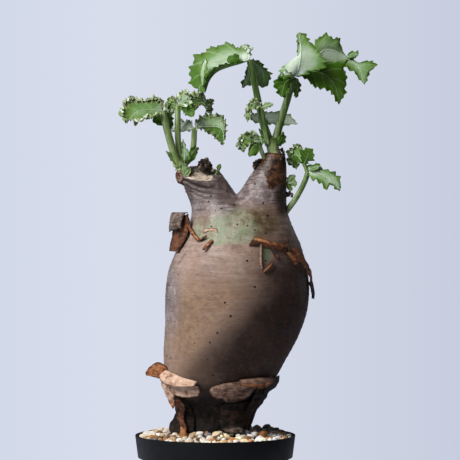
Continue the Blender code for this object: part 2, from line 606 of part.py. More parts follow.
def make_leaflet(name, leaflet, collection):
    """A leaflet with a cut and waved edge, as a thin closed body."""
    length = (Vector(leaflet[2]) - Vector(leaflet[0])).length
    rows, columns = next(grid for least, grid in LEAFLET_GRIDS if length >= least)
    bm = bmesh.new()
    bmesh.ops.create_grid(bm, x_segments=columns, y_segments=rows, size=1.0)
    for vert in bm.verts:
        across, along = vert.co.x, (vert.co.y + 1) / 2
        row = round(along * rows)
        edge = abs(across) ** 3
        outward = 1 + TOOTH_DEPTH * edge * (1 if row % 2 else -1)
        lift = RUFFLE * length * MM * edge * math.sin(row * 2.2 + (2.0 if across > 0 else 0.0))
        vert.co = blade_point(leaflet, along, across, outward, lift)
    bmesh.ops.triangulate(bm, faces=bm.faces)
    sheet = add_object(name, mesh_from(bm, name), collection)
    thick = sheet.modifiers.new("thickness", "SOLIDIFY")
    thick.thickness = LEAF_THICKNESS * MM
    thick.offset = 0.0
    mesh = evaluated_copy(sheet)
    bpy.data.objects.remove(sheet)
    return add_object(name, mesh, collection)


def make_shoot(name, stalks, leaflets, collection, green):
    """A leafy shoot: its stalks, a joint at the top of each, and its leaflets, fused into one body."""
    pieces = []
    for label, (foot_radius, top_radius, points) in stalks.items():
        pieces.append(tube(f"{name}_{label}", foot_radius, top_radius, points, collection))
        pieces.append(blob(f"{name}_{label}_joint", points[-1], (top_radius * 1.25,) * 3, 1, collection))
    for label, leaflet in leaflets.items():
        pieces.append(make_leaflet(f"{name}_{label}", leaflet, collection))
    return unite(name, pieces, collection, green)


def make_socket(name, stalk, cutters):
    """The plain round hole that a shoot's foot stands in, with a running gap round it and below it."""
    foot_radius, _, points = stalk
    foot = mm(*points[0])
    heading = (mm(*points[1]) - foot).normalized()
    start = foot - heading * SEAT_GAP * MM
    end = foot + heading * (SOCKET_DEPTH + 6.0) * MM
    return as_cutter(cylinder_between(name, start, end, (foot_radius * 1.12 + SEAT_GAP) * MM, 12, cutters))


def trunk_centre(height):
    """The X of the trunk's middle at a height."""
    for low, high in zip(TRUNK_STATIONS, TRUNK_STATIONS[1:]):
        if height <= high[0]:
            share = max(0.0, (height - low[0]) / (high[0] - low[0]))
            return ((low[1] + low[2]) * (1 - share) + (high[1] + high[2]) * share) / 2
    return (TRUNK_STATIONS[-1][1] + TRUNK_STATIONS[-1][2]) / 2


def bark_point(surface, angle, height, lift):
    """A point lifted off the caudex's surface, found from outside along a level ray to its axis."""
    outward = Vector((math.cos(math.radians(angle)), math.sin(math.radians(angle)), 0.0))
    centre = mm(trunk_centre(height), 0.0, height)
    hit = surface.ray_cast(centre + outward * 0.2, -outward)[0]
    point = hit + outward * lift * MM
    near, normal, _, _ = surface.find_nearest(point)
    clearance = (point - near).dot(normal)
    least = SEAT_GAP * MM * 1.3
    return point if clearance >= least else point + normal * (least - clearance)


def make_flake(name, rows, surface, collection, bark, rng):
    """A curling flake of dead bark seated on the caudex, with a ragged edge."""
    width = 33.0 * math.radians(max(abs(row[3] - row[0]) for row in rows))
    height = max(abs(rows[-1][k] - rows[0][k]) for k in (1, 4))
    across, down = (max(2, min(6, round(size / BARK_CELL))) for size in (width, height))
    ragged = BARK_RAGGEDNESS * min(width / across, height / down)
    bm = bmesh.new()
    bmesh.ops.create_grid(bm, x_segments=across, y_segments=down, size=1.0)
    for vert in bm.verts:
        u, v = (vert.co.x + 1) / 2, (vert.co.y + 1) / 2
        place = v * (len(rows) - 1)
        index = min(int(place), len(rows) - 2)
        share = place - index
        row = [a + (b - a) * share for a, b in zip(rows[index], rows[index + 1])]
        angle, level, lift = (row[k] + (row[k + 3] - row[k]) * u for k in range(3))
        rim = u in (0.0, 1.0) or v in (0.0, 1.0)
        if rim:
            level += rng.uniform(-1, 1) * ragged
            angle += rng.uniform(-1, 1) * ragged * 1.6
        vert.co = bark_point(surface, angle, level, lift)
    bmesh.ops.triangulate(bm, faces=bm.faces)
    bm.normal_update()
    outward = sum((face.normal.dot(face.calc_center_median() * Vector((1, 1, 0))) for face in bm.faces), 0.0)
    if outward < 0:
        bmesh.ops.reverse_faces(bm, faces=bm.faces)
    flake = add_object(name, mesh_from(bm, name), collection, bark)
    thick = flake.modifiers.new("thickness", "SOLIDIFY")
    thick.thickness = BARK_THICKNESS * MM
    thick.offset = 1.0
    return flake


def main():
    """Builds every part of the plant and its pot."""
    clear_scene()
    parts = bpy.data.collections.new("potted_cyphostemma")
    cutters = bpy.data.collections.new("cutters")
    for collection in (parts, cutters):
        bpy.context.scene.collection.children.link(collection)

    make_pot(parts, cutters, finish("black_plastic", (0.012, 0.013, 0.016), 0.45))
    root = root_cutter(cutters)
    make_soil(parts, root, finish("potting_mix", (0.05, 0.032, 0.02), 0.95))
    make_gravel(parts, root, finish("pale_gravel", (0.58, 0.48, 0.36), 0.85))

    shoots = {
        "leafy_shoot_right": (RIGHT_STALKS, RIGHT_LEAFLETS),
        "leafy_shoot_left": (LEFT_STALKS, LEFT_LEAFLETS),
        "leaf_inner": (INNER_STALKS, INNER_LEAFLETS),
        "leaf_side": (SIDE_STALKS, SIDE_LEAFLETS),
        "bud_side": (BUD_STALKS, BUD_LEAFLETS),
        "bud_left": (SPROUT_STALKS, SPROUT_LEAFLETS),
    }
    sockets = []
    for name, (stalks, leaflets) in shoots.items():
        sockets.append(make_socket(f"{name}_socket", next(iter(stalks.values())), cutters))
        make_shoot(name, stalks, leaflets, parts, finish(f"{name}_green", (0.16, 0.30, 0.09), 0.5))
    caudex = make_caudex(parts, sockets, finish("caudex_bark", (0.30, 0.22, 0.17), 0.6))

    mesh = evaluated_copy(caudex)
    solid = bmesh.new()
    solid.from_mesh(mesh)
    surface = BVHTree.FromBMesh(solid)
    rng = random.Random(11)
    for name, rows in BARK_FLAKES.items():
        make_flake(name, rows, surface, parts, finish(f"{name}_paper", (0.34, 0.20, 0.12), 0.8), rng)
    solid.free()
    bpy.data.meshes.remove(mesh)


main()
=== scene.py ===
"""A potted cyphostemma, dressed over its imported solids.

Sizes are in millimetres in the tables and in metres in the meshes. +Z is up, the origin is the
centre of the pot's base, +X is to the right of the picture and -Y is the viewer's side.
"""

import logging
import math
import random
from dataclasses import dataclass
from enum import Enum
from typing import Callable, Sequence

import bmesh
import bpy
from mathutils import Matrix, Quaternion, Vector, noise
from mathutils.bvhtree import BVHTree


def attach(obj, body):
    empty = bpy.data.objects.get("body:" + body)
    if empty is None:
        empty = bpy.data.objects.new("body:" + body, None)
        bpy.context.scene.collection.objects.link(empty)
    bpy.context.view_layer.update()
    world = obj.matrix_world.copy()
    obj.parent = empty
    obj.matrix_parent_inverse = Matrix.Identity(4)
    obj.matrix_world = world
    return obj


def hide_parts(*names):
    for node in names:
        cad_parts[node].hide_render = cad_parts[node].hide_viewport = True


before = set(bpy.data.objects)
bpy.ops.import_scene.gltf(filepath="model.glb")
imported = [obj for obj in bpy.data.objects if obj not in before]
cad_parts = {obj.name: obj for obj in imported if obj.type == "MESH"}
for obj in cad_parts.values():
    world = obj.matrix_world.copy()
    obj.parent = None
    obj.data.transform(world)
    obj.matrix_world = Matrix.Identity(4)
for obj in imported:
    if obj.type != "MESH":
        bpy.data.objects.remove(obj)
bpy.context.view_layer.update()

LOG = logging.getLogger("cyphostemma")
MM = 0.001

Point = tuple[float, float, float]
Line = tuple[Point, ...]
Colour = tuple[float, float, float]
Traits = tuple[float, float, float, float]
BMesh = bmesh.types.BMesh
Face = bmesh.types.BMFace
Mesh = bpy.types.Mesh
Object = bpy.types.Object
Material = bpy.types.Material
Socket = bpy.types.NodeSocket


def mm(x: float, y: float, z: float) -> Vector:
    """A point given in millimetres, in metres."""
    return Vector((x, y, z)) * MM


def smooth(low: float, high: float, value: float) -> float:
    """Rises smoothly from 0 at low to 1 at high.

    Args:
        low: the value that gives 0.
        high: the value that gives 1.
        value: the value to place between them.

    Returns:
        A share from 0 to 1.
    """
    share = min(max((value - low) / (high - low), 0.0), 1.0)
    return share * share * (3 - 2 * share)


def wobble(point: Vector, size: float, seed: float = 0.0) -> float:
    """Smooth noise from about -1 to 1 with features of a size in millimetres."""
    return noise.noise(point / (size * MM) + Vector((seed, seed * 0.7, -seed)))


def ripple(value: float, pitch: float, shift: float) -> float:
    """A wave from -1 to 1 that comes back after every pitch."""
    return math.sin(value * 2 * math.pi / pitch + shift)


def tint(*screen: int) -> Colour:
    """A screen colour from 0 to 255 as the linear colour that shaders take."""
    return tuple(((c / 255 + 0.055) / 1.055) ** 2.4 if c > 10 else c / 255 / 12.92 for c in screen)


def rgba(colour: object) -> Traits:
    """A screen colour or a grey as the linear colour and alpha that nodes take."""
    return (*(tint(*colour) if isinstance(colour, tuple) else (colour,) * 3), 1.0)


def spline(points: Sequence[Vector], share: float) -> Vector:
    """A point of the smooth line through points.

    Args:
        points: what the line runs through.
        share: how far along it is, as a share of the points' count.

    Returns:
        The point.
    """
    place = min(max(share, 0.0), 1.0) * (len(points) - 1)
    i = min(int(place), len(points) - 2)
    t = place - i
    p1, p2 = points[i], points[i + 1]
    p0 = points[i - 1] if i else p1 * 2 - p2
    p3 = points[i + 2] if i + 2 < len(points) else p2 * 2 - p1
    cubic = (3 * p1 - p0 - 3 * p2 + p3) * t**3
    return 0.5 * (2 * p1 + (p2 - p0) * t + (2 * p0 - 5 * p1 + 4 * p2 - p3) * t**2 + cubic)


class Path:
    """A smooth line through points, walked by its length."""

    SAMPLES = 48

    def __init__(self, points: Sequence[Point]) -> None:
        """Fits the line.

        Args:
            points: the points it runs through, in millimetres.
        """
        self.points = [mm(*p) for p in points]
        raw = [spline(self.points, i / self.SAMPLES) for i in range(self.SAMPLES + 1)]
        self.lengths = [0.0]
        for a, b in zip(raw, raw[1:]):
            self.lengths.append(self.lengths[-1] + (b - a).length)
        self.length = self.lengths[-1]

    def at(self, share: float) -> Vector:
        """The point at a share of the line's length.

        Args:
            share: from 0 at its start to 1 at its end.

        Returns:
            The point, in metres.
        """
        target = min(max(share, 0.0), 1.0) * self.length
        i = 0
        while i < self.SAMPLES - 1 and self.lengths[i + 1] < target:
            i += 1
        step = self.lengths[i + 1] - self.lengths[i]
        part = (target - self.lengths[i]) / step if step else 0.0
        return spline(self.points, (i + part) / self.SAMPLES)

    def heading(self, share: float) -> Vector:
        """The direction of travel at a share of the line's length."""
        return (self.at(share + 0.02) - self.at(share - 0.02)).normalized()


def linked(name: str, data: object) -> Object:
    """Puts a new object into the scene, at the origin."""
    obj = bpy.data.objects.new(name, data)
    bpy.context.scene.collection.objects.link(obj)
    return obj


def meshed(bm: BMesh, name: str = "scratch") -> Mesh:
    """Turns a bmesh into a mesh, and frees it."""
    mesh = bpy.data.meshes.new(name)
    bm.to_mesh(mesh)
    bm.free()
    return mesh


def opened(mesh: Mesh) -> BMesh:
    """Takes a mesh into a bmesh, and removes it."""
    bm = bmesh.new()
    bm.from_mesh(mesh)
    bpy.data.meshes.remove(mesh)
    return bm


class Shell:
    """Collects closed bodies into one mesh."""

    def __init__(self) -> None:
        """Starts empty."""
        self.bm = bmesh.new()
        self.bm.verts.layers.float_color.new("traits")

    def add(self, body: BMesh) -> None:
        """Takes a body in and frees it."""
        mesh = meshed(body)
        self.bm.from_mesh(mesh)
        bpy.data.meshes.remove(mesh)

    def mark(self, traits: Traits) -> None:
        """Gives every point the same traits."""
        layer = self.bm.verts.layers.float_color["traits"]
        for vert in self.bm.verts:
            vert[layer] = traits

    def piece(self, name: str, material: Material, *others: Material, sharp: float) -> Object:
        """Turns the bodies into the piece of that name, as finished() does."""
        return finished(name, meshed(self.bm, name), (material, *others), sharp)


def finished(name: str, mesh: Mesh, materials: Sequence[Material], sharp: float) -> Object:
    """Links a mesh as a finished piece that rides on the root body.

    Args:
        name: the piece's name.
        mesh: its mesh, in place.
        materials: its materials, by slot.
        sharp: edges steeper than this many degrees stay crisp.

    Returns:
        The new object.
    """
    mesh.name = name
    for index, material in enumerate(materials):
        if index < len(mesh.materials):
            mesh.materials[index] = material
        else:
            mesh.materials.append(material)
    mesh.shade_smooth()
    mesh.set_sharp_from_angle(angle=math.radians(sharp))
    obj = linked(name, mesh)
    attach(obj, "root")
    mesh.calc_loop_triangles()
    LOG.info("%s: %d triangles", name, len(mesh.loop_triangles))
    return obj


def baked(obj: Object) -> Mesh:
    """Works out an object's modifiers, and removes the object.

    Args:
        obj: a scratch object.

    Returns:
        The resulting mesh.
    """
    bpy.context.view_layer.update()
    graph = bpy.context.evaluated_depsgraph_get()
    mesh = bpy.data.meshes.new_from_object(obj.evaluated_get(graph))
    bpy.data.objects.remove(obj)
    return mesh


def scratch(bm: BMesh, name: str = "scratch") -> Object:
    """Puts a bmesh into a scratch object, and frees it."""
    return linked(name, meshed(bm, name))


def thickened(sheet: BMesh, thickness: float, offset: float, slots: int) -> Mesh:
    """Gives a sheet a thickness, with its back in the material slot after its front's.

    Args:
        sheet: the sheet, which is freed.
        thickness: how thick it becomes, in millimetres.
        offset: -1 where it grows backwards and 1 where it grows forwards.
        slots: how many material slots it has.

    Returns:
        The closed mesh.
    """
    obj = scratch(sheet)
    for _ in range(slots):
        obj.data.materials.append(None)
    solid = obj.modifiers.new("thickness", "SOLIDIFY")
    solid.thickness, solid.offset, solid.material_offset = thickness * MM, offset, 1
    return baked(obj)


def turned(outline: Sequence[tuple[float, float]], steps: int, rounding: float = 0.0) -> BMesh:
    """Turns an outline about Z.

    Args:
        outline: (radius, height) points in millimetres.
        steps: how many steps make the full turn.
        rounding: how far every corner off the axis is rounded, in millimetres.

    Returns:
        The closed body.
    """
    bm = bmesh.new()
    points = [bm.verts.new(mm(r, 0.0, z)) for r, z in outline]
    edges = [bm.edges.new(pair) for pair in zip(points, points[1:])]
    if outline[0][0] > 0:
        edges.append(bm.edges.new((points[-1], points[0])))
    if rounding:
        corners = [p for p in points if p.co.x > 1e-6]
        bmesh.ops.bevel(
            bm, geom=corners, offset=rounding * MM, segments=3, profile=0.5, affect="VERTICES", material=-1,
            offset_type="OFFSET", clamp_overlap=True,
        )
    bmesh.ops.spin(
        bm, geom=[*bm.verts, *bm.edges], cent=(0, 0, 0), axis=(0, 0, 1), dvec=(0, 0, 0),
        angle=2 * math.pi, steps=steps, use_merge=True, use_duplicate=False,
    )
    bmesh.ops.remove_doubles(bm, verts=bm.verts, dist=0.002 * MM)
    bmesh.ops.recalc_face_normals(bm, faces=bm.faces)
    return bm


def extrude_ring(bm: BMesh, face: Face, place: Callable[[Vector], Vector]) -> Face:
    """Extrudes an end face and moves each of its corners.

    Args:
        bm: the mesh.
        face: the end face.
        place: gives a corner's new place from its old one.

    Returns:
        The new end face.
    """
    top = bmesh.ops.extrude_discrete_faces(bm, faces=[face])["faces"][0]
    for vert in top.verts:
        vert.co = place(vert.co.copy())
    return top


def tube(points: Sequence[Point], radius: Callable[[float], float], sides: int, steps: int) -> BMesh:
    """Lofts a round body along a smooth line by extruding a circle's face.

    Args:
        points: the line's points, in millimetres.
        radius: the radius in millimetres at a share of the length.
        sides: how many sides the circle has.
        steps: how many stretches it is extruded in.

    Returns:
        The closed body.
    """
    path = Path(points)
    bm = bmesh.new()
    turn = path.heading(0.0).to_track_quat("Z", "Y")

    def ring(share: float, turn: Quaternion) -> Matrix:
        """The place and size of the circle at a share of the length."""
        size = Matrix.Diagonal((*[radius(share) * MM] * 3, 1.0))
        return Matrix.Translation(path.at(share)) @ turn.to_matrix().to_4x4() @ size

    place = ring(0.0, turn)
    bmesh.ops.create_circle(bm, cap_ends=True, segments=sides, radius=1.0, matrix=place)
    bm.faces.ensure_lookup_table()
    face, heading = bm.faces[0], path.heading(0.0)
    for step in range(1, steps + 1):
        following = path.heading(step / steps)
        turn = heading.rotation_difference(following) @ turn
        heading = following
        onward = ring(step / steps, turn)
        face = bmesh.ops.extrude_discrete_faces(bm, faces=[face])["faces"][0]
        bmesh.ops.transform(bm, matrix=onward @ place.inverted(), verts=face.verts)
        place = onward
    bmesh.ops.holes_fill(bm, edges=[e for e in bm.edges if e.is_boundary])
    bmesh.ops.recalc_face_normals(bm, faces=bm.faces)
    return bm


def lump(radius: float, finer: int, place: Matrix, height: Callable[[Vector], float]) -> BMesh:
    """A ball put in place and then worked along its normals.

    Args:
        radius: its radius in millimetres.
        finer: how finely it is divided.
        place: stretches, turns and moves it.
        height: gives how far a point moves outwards, in millimetres.

    Returns:
        The closed body.
    """
    bm = bmesh.new()
    bmesh.ops.create_icosphere(bm, subdivisions=finer, radius=radius * MM)
    bmesh.ops.transform(bm, matrix=place, verts=bm.verts)
    bm.normal_update()
    for vert in bm.verts:
        vert.co += vert.normal * height(vert.co) * MM
    return bm


class Graph:
    """One node material, built around its Principled shader."""

    def __init__(self, name: str, roughness: float = 0.6) -> None:
        """Starts the material.

        Args:
            name: the material's name.
            roughness: its roughness where nothing is linked to it.
        """
        self.material = bpy.data.materials.new(name)
        self.material.use_nodes = True
        self.nodes = self.material.node_tree.nodes
        self.links = self.material.node_tree.links
        self.shader = self.nodes["Principled BSDF"]
        self.shader.inputs["Roughness"].default_value = roughness
        self.place = self.nodes.new("ShaderNodeTexCoord").outputs["Object"]

    def set(self, socket: Socket, value: object) -> None:
        """Links or sets a socket.

        Args:
            socket: the socket.
            value: another socket, or a constant: a colour's is a screen colour or a grey.
        """
        if isinstance(value, Socket):
            self.links.new(value, socket)
        else:
            socket.default_value = rgba(value) if socket.type == "RGBA" else value

    def node(self, kind: str, **inputs: object) -> bpy.types.Node:
        """Adds a node.

        Args:
            kind: its type, without the leading "ShaderNode".
            **inputs: what its inputs are linked or set to.

        Returns:
            The node.
        """
        node = self.nodes.new(f"ShaderNode{kind}")
        for name, value in inputs.items():
            self.set(node.inputs[name], value)
        return node

    def stretched(self, scale: Point, turn: Point = (0.0, 0.0, 0.0)) -> Socket:
        """Object coordinates, stretched and then turned.

        Args:
            scale: the repeats per metre along each axis.
            turn: the turns about the axes, in degrees.

        Returns:
            The coordinates.
        """
        turns = tuple(math.radians(a) for a in turn)
        return self.node("Mapping", Scale=scale, Rotation=turns, Vector=self.place).outputs["Vector"]

    def noise(
        self, size: float, detail: float = 4.0, rough: float = 0.55, vector: Socket | None = None,
        warp: float = 0.0,
    ) -> Socket:
        """Fractal noise.

        Args:
            size: the size of its features in millimetres, or 1 where the vector is already scaled.
            detail: its octaves.
            rough: the share that each octave keeps.
            vector: its coordinates, or None for the object's.
            warp: how much it is distorted.

        Returns:
            The noise's value, from 0 to 1.
        """
        node = self.node("TexNoise", Detail=detail, Roughness=rough, Distortion=warp)
        self.set(node.inputs["Scale"], (1000.0 if vector is None else 1.0) / size)
        self.set(node.inputs["Vector"], self.place if vector is None else vector)
        return node.outputs[0]

    def cells(self, size: float, output: str = "Distance") -> Socket:
        """Voronoi cells of a size in millimetres: the distance from their middle, or a colour for each."""
        return self.node("TexVoronoi", Scale=1000.0 / size, Vector=self.place).outputs[output]

    def ramp(self, value: Socket, *stops: tuple[float, object]) -> Socket:
        """A colour ramp.

        Args:
            value: what it reads.
            *stops: its stops, each a place with a screen colour or a grey.

        Returns:
            The colour.
        """
        node = self.node("ValToRGB", Fac=value)
        ramp = node.color_ramp
        while len(ramp.elements) < len(stops):
            ramp.elements.new(0.5)
        for element, (place, colour) in zip(ramp.elements, stops):
            element.position = place
            element.color = rgba(colour)
        return node.outputs["Color"]

    def mix(self, share: object, first: object, second: object, blend: str = "MIX") -> Socket:
        """Mixes two colours.

        Args:
            share: how much of the second shows, a number or a socket.
            first: the first colour.
            second: the second colour.
            blend: Blender's name of the blend.

        Returns:
            The mixed colour.
        """
        node = self.node("Mix")
        node.data_type = "RGBA"
        node.blend_type = blend
        node.clamp_factor = True
        for index, value in ((0, share), (6, first), (7, second)):
            self.set(node.inputs[index], value)
        return node.outputs[2]

    def calc(self, operation: str, *values: object, clamp: bool = False) -> Socket:
        """One step of arithmetic.

        Args:
            operation: Blender's name of it.
            *values: the numbers or sockets that it takes.
            clamp: whether its result is kept from 0 to 1.

        Returns:
            The result.
        """
        node = self.node("Math")
        node.operation = operation
        node.use_clamp = clamp
        for socket, value in zip(node.inputs, values):
            self.set(socket, value)
        return node.outputs[0]

    def trait(self, name: str) -> tuple[Socket, Socket, Socket, Socket]:
        """The red, green, blue and alpha channels of a colour attribute of the mesh."""
        whole = self.tone(name)
        return (*self.node("SeparateColor", Color=whole).outputs, whole.node.outputs["Alpha"])

    def tone(self, name: str) -> Socket:
        """A colour attribute of the mesh, whole."""
        node = self.node("Attribute")
        node.attribute_name = name
        return node.outputs["Color"]

    def relief(self, *layers: tuple[Socket, float]) -> None:
        """Bump from layers of (height, depth in millimetres), laid one over the other."""
        under = {}
        for height, depth in layers:
            bump = self.node("Bump", Distance=depth * MM, Height=height, **under)
            under = {"Normal": bump.outputs["Normal"]}
        self.set(self.shader.inputs["Normal"], under["Normal"])

    def finish(self, colour: object, roughness: object = None, **constants: float) -> Material:
        """Links the colour and roughness, and sets the shader's plain numbers.

        Args:
            colour: the base colour.
            roughness: a socket that drives the roughness, if any.
            **constants: the shader's other inputs, named with underscores.

        Returns:
            The finished material.
        """
        self.set(self.shader.inputs["Base Color"], colour)
        if roughness is not None:
            self.set(self.shader.inputs["Roughness"], roughness)
        for name, value in constants.items():
            self.shader.inputs[name.replace("_", " ").title().replace("Ior", "IOR")].default_value = value
        return self.material


@dataclass(frozen=True)
class MouldedPlastic:
    """The black plastic of the pot, matt with a cool cast and a little dust."""

    body: Colour = (8, 9, 13)
    dust: Colour = (32, 35, 41)

    def material(self) -> Material:
        """Builds the material."""
        g = Graph("moulded_black_plastic", 0.5)
        streaks = g.noise(1.0, 5, 0.6, g.stretched((500, 500, 60)))
        dust = g.ramp(g.noise(1.1, 8, 0.75), (0.62, 0.0), (0.72, 1.0))
        drift = g.ramp(g.noise(16, 4), (0.4, 0.0), (0.75, 0.5))
        colour = g.mix(g.ramp(streaks, (0.35, 0.0), (0.8, 0.35)), self.body, (15, 18, 24))
        colour = g.mix(g.calc("MULTIPLY", dust, drift), colour, self.dust)
        rough = g.ramp(g.noise(5, 5), (0.3, 0.46), (0.7, 0.6))
        g.relief((g.noise(0.5, 3), 0.02), (streaks, 0.03))
        return g.finish(colour, rough, specular_ior_level=0.17)


@dataclass(frozen=True)
class PottingMix:
    """Dark crumbly mix with pale grit."""

    def material(self) -> Material:
        """Builds the material."""
        g = Graph("potting_mix", 0.95)
        crumbs = g.cells(1.9, output="Color")
        base = g.ramp(g.noise(1.6, 8, 0.7), (0.3, (28, 20, 14)), (0.6, (66, 47, 33)), (0.8, (112, 90, 68)))
        colour = g.mix(0.25, base, crumbs, "SOFT_LIGHT")
        g.relief((g.noise(1.4, 8, 0.7), 0.6))
        return g.finish(colour)


@dataclass(frozen=True)
class GravelStone:
    """Dry angular stone. Each grain carries its own colour."""

    def material(self) -> Material:
        """Builds the material."""
        g = Graph("gravel_stone", 0.85)
        own = g.tone("grain")
        speck = g.ramp(g.noise(0.9, 7, 0.75), (0.3, 0.52), (0.55, 1.0), (0.8, 1.12))
        colour = g.mix(1.0, own, speck, "MULTIPLY")
        stain = g.ramp(g.noise(2.6, 4), (0.5, 0.0), (0.75, 0.45))
        colour = g.mix(stain, colour, g.mix(1.0, own, (196, 150, 108), "MULTIPLY"))
        g.relief((g.noise(0.8, 6, 0.7), 0.12))
        return g.finish(colour, specular_ior_level=0.3)


@dataclass(frozen=True)
class CaudexSkin:
    """The living bark: pinkish tan over purple brown, a green window under the fork, grey horns.

    The mesh's "zones" attribute holds the green window, the grey of the horns with a painted grey
    sheen down the trunk's left edge, the dark foot deepened with painted shade and the ochre stain,
    and "marks" holds the pale scar wood, the papery sleeve, the olive shoulder and painted shade on
    the side turned from the light, the low front and the folds of the left horn.
    """

    tan: Colour = (158, 137, 126)
    rose: Colour = (146, 120, 106)
    purple: Colour = (116, 90, 76)

    def material(self) -> Material:
        """Builds the material."""
        g = Graph("caudex_skin", 0.5)
        # horn carries the horns' grey and the painted grey sheen of the trunk's left edge.
        green, horn, foot, ochre = g.trait("zones")
        scar, sleeve, olive, painted_shade = g.trait("marks")
        blotch = g.noise(17, 6, 0.62, warp=0.7)
        mottle = g.noise(4.2, 9, 0.7)
        band = g.noise(1.0, 8, 0.66, g.stretched((60, 60, 460)))
        fine = g.noise(1.0, 8, 0.72, g.stretched((380, 380, 1500)))

        def over(
            under: Socket, mask: Socket, paint: Socket, spread: float, low: float, high: float
        ) -> Socket:
            """Lays a paint over a colour where the mask, broken up by mottling, is high.

            Args:
                under: the colour beneath.
                mask: where the paint lies, from 0 to 1.
                paint: the colour laid on.
                spread: how much the mottling breaks the mask's edge.
                low: the mask's value where the paint starts to show.
                high: the mask's value where the paint covers.

            Returns:
                The colour with the paint on it.
            """
            rough_edge = g.calc("ADD", g.calc("SUBTRACT", mottle, 0.5), g.calc("SUBTRACT", blotch, 0.5))
            reach = g.calc("MULTIPLY", g.calc("MULTIPLY", mask, 6.0, clamp=True), spread)
            share = g.calc("ADD", mask, g.calc("MULTIPLY", rough_edge, reach))
            return g.mix(g.ramp(share, (low, 0.0), (high, 1.0)), under, paint)

        colour = g.ramp(blotch, (0.33, self.purple), (0.47, self.rose), (0.6, self.tan))
        colour = g.mix(g.ramp(mottle, (0.46, 0.0), (0.66, 0.55)), colour, (120, 99, 88))
        colour = g.mix(g.ramp(band, (0.5, 0.0), (0.66, 0.6)), colour, (170, 154, 145))
        colour = g.mix(g.ramp(band, (0.3, 0.6), (0.44, 0.0)), colour, (104, 80, 69))

        warm = g.ramp(mottle, (0.34, (97, 74, 55)), (0.5, (131, 104, 80)), (0.7, (153, 127, 102)))
        colour = over(colour, ochre, warm, 0.8, 0.1, 1.0)
        earth = g.ramp(mottle, (0.34, (50, 38, 26)), (0.5, (96, 80, 58)), (0.7, (142, 125, 98)))
        colour = over(colour, olive, earth, 1.6, 0.2, 0.8)
        moss = g.ramp(mottle, (0.34, (98, 84, 60)), (0.46, (134, 129, 106)), (0.64, (158, 157, 136)))
        leafy = g.ramp(g.noise(7, 7, 0.68, warp=0.4), (0.44, 0.0), (0.58, 0.75))
        moss = g.mix(leafy, moss, (116, 132, 102))
        colour = over(colour, green, moss, 1.2, 0.22, 0.7)
        # The horns' grey, which also lays the painted sheen down the trunk's left edge.
        slate = g.ramp(mottle, (0.34, (74, 61, 58)), (0.5, (116, 103, 101)), (0.68, (172, 160, 160)))
        rings = g.noise(1.0, 5, 0.62, g.stretched((60, 60, 900), (0, -14, 0)), 0.6)
        slate = g.mix(g.ramp(rings, (0.36, 0.85), (0.48, 0.0)), slate, (44, 33, 31))
        slate = g.mix(g.ramp(blotch, (0.5, 0.0), (0.64, 0.5)), slate, (96, 80, 75))
        colour = over(colour, horn, slate, 1.0, 0.12, 0.85)
        # Painted shade: dark brown laid where the light doesn't reach the trunk and horns.
        shade = g.ramp(mottle, (0.34, (22, 11, 6)), (0.52, (44, 25, 16)), (0.72, (76, 50, 36)))
        colour = over(colour, painted_shade, shade, 0.6, 0.1, 1.0)
        paper = g.ramp(mottle, (0.4, (18, 10, 7)), (0.52, (70, 44, 28)), (0.68, (136, 92, 56)))
        colour = over(colour, sleeve, paper, 0.7, 0.3, 0.6)
        # Dark bark of the foot, deepened with painted shade under the bulge of the trunk.
        dark = g.ramp(mottle, (0.36, (3, 2, 1)), (0.55, (12, 6, 4)), (0.72, (52, 27, 17)))
        colour = over(colour, foot, dark, 0.5, 0.2, 0.75)
        wood = g.ramp(fine, (0.36, (74, 54, 44)), (0.48, (184, 166, 148)), (0.68, (226, 214, 200)))
        colour = over(colour, scar, wood, 0.5, 0.35, 0.6)

        pores = g.calc("ADD", g.cells(6.4), g.calc("MULTIPLY", g.calc("SUBTRACT", mottle, 0.52), 0.3))
        halo = g.ramp(pores, (0.12, 0.45), (0.2, 0.0))
        dot = g.ramp(pores, (0.085, 1.0), (0.125, 0.0))
        colour = g.mix(halo, colour, 1.35, "MULTIPLY")
        colour = g.mix(dot, colour, (22, 13, 10))
        colour = g.mix(g.ramp(fine, (0.34, 0.5), (0.48, 0.0)), colour, (66, 48, 40))

        rough = g.ramp(mottle, (0.35, 0.4), (0.65, 0.56))
        rough = g.calc("ADD", rough, g.calc("MULTIPLY", g.calc("MAXIMUM", foot, painted_shade), 0.3), clamp=True)
        rough = g.calc("SUBTRACT", rough, g.calc("MULTIPLY", horn, 0.1))
        g.relief((mottle, 0.25), (band, 0.2), (fine, 0.14), (g.calc("MINIMUM", pores, 0.1), 1.2))
        return g.finish(colour, rough, specular_ior_level=0.34)


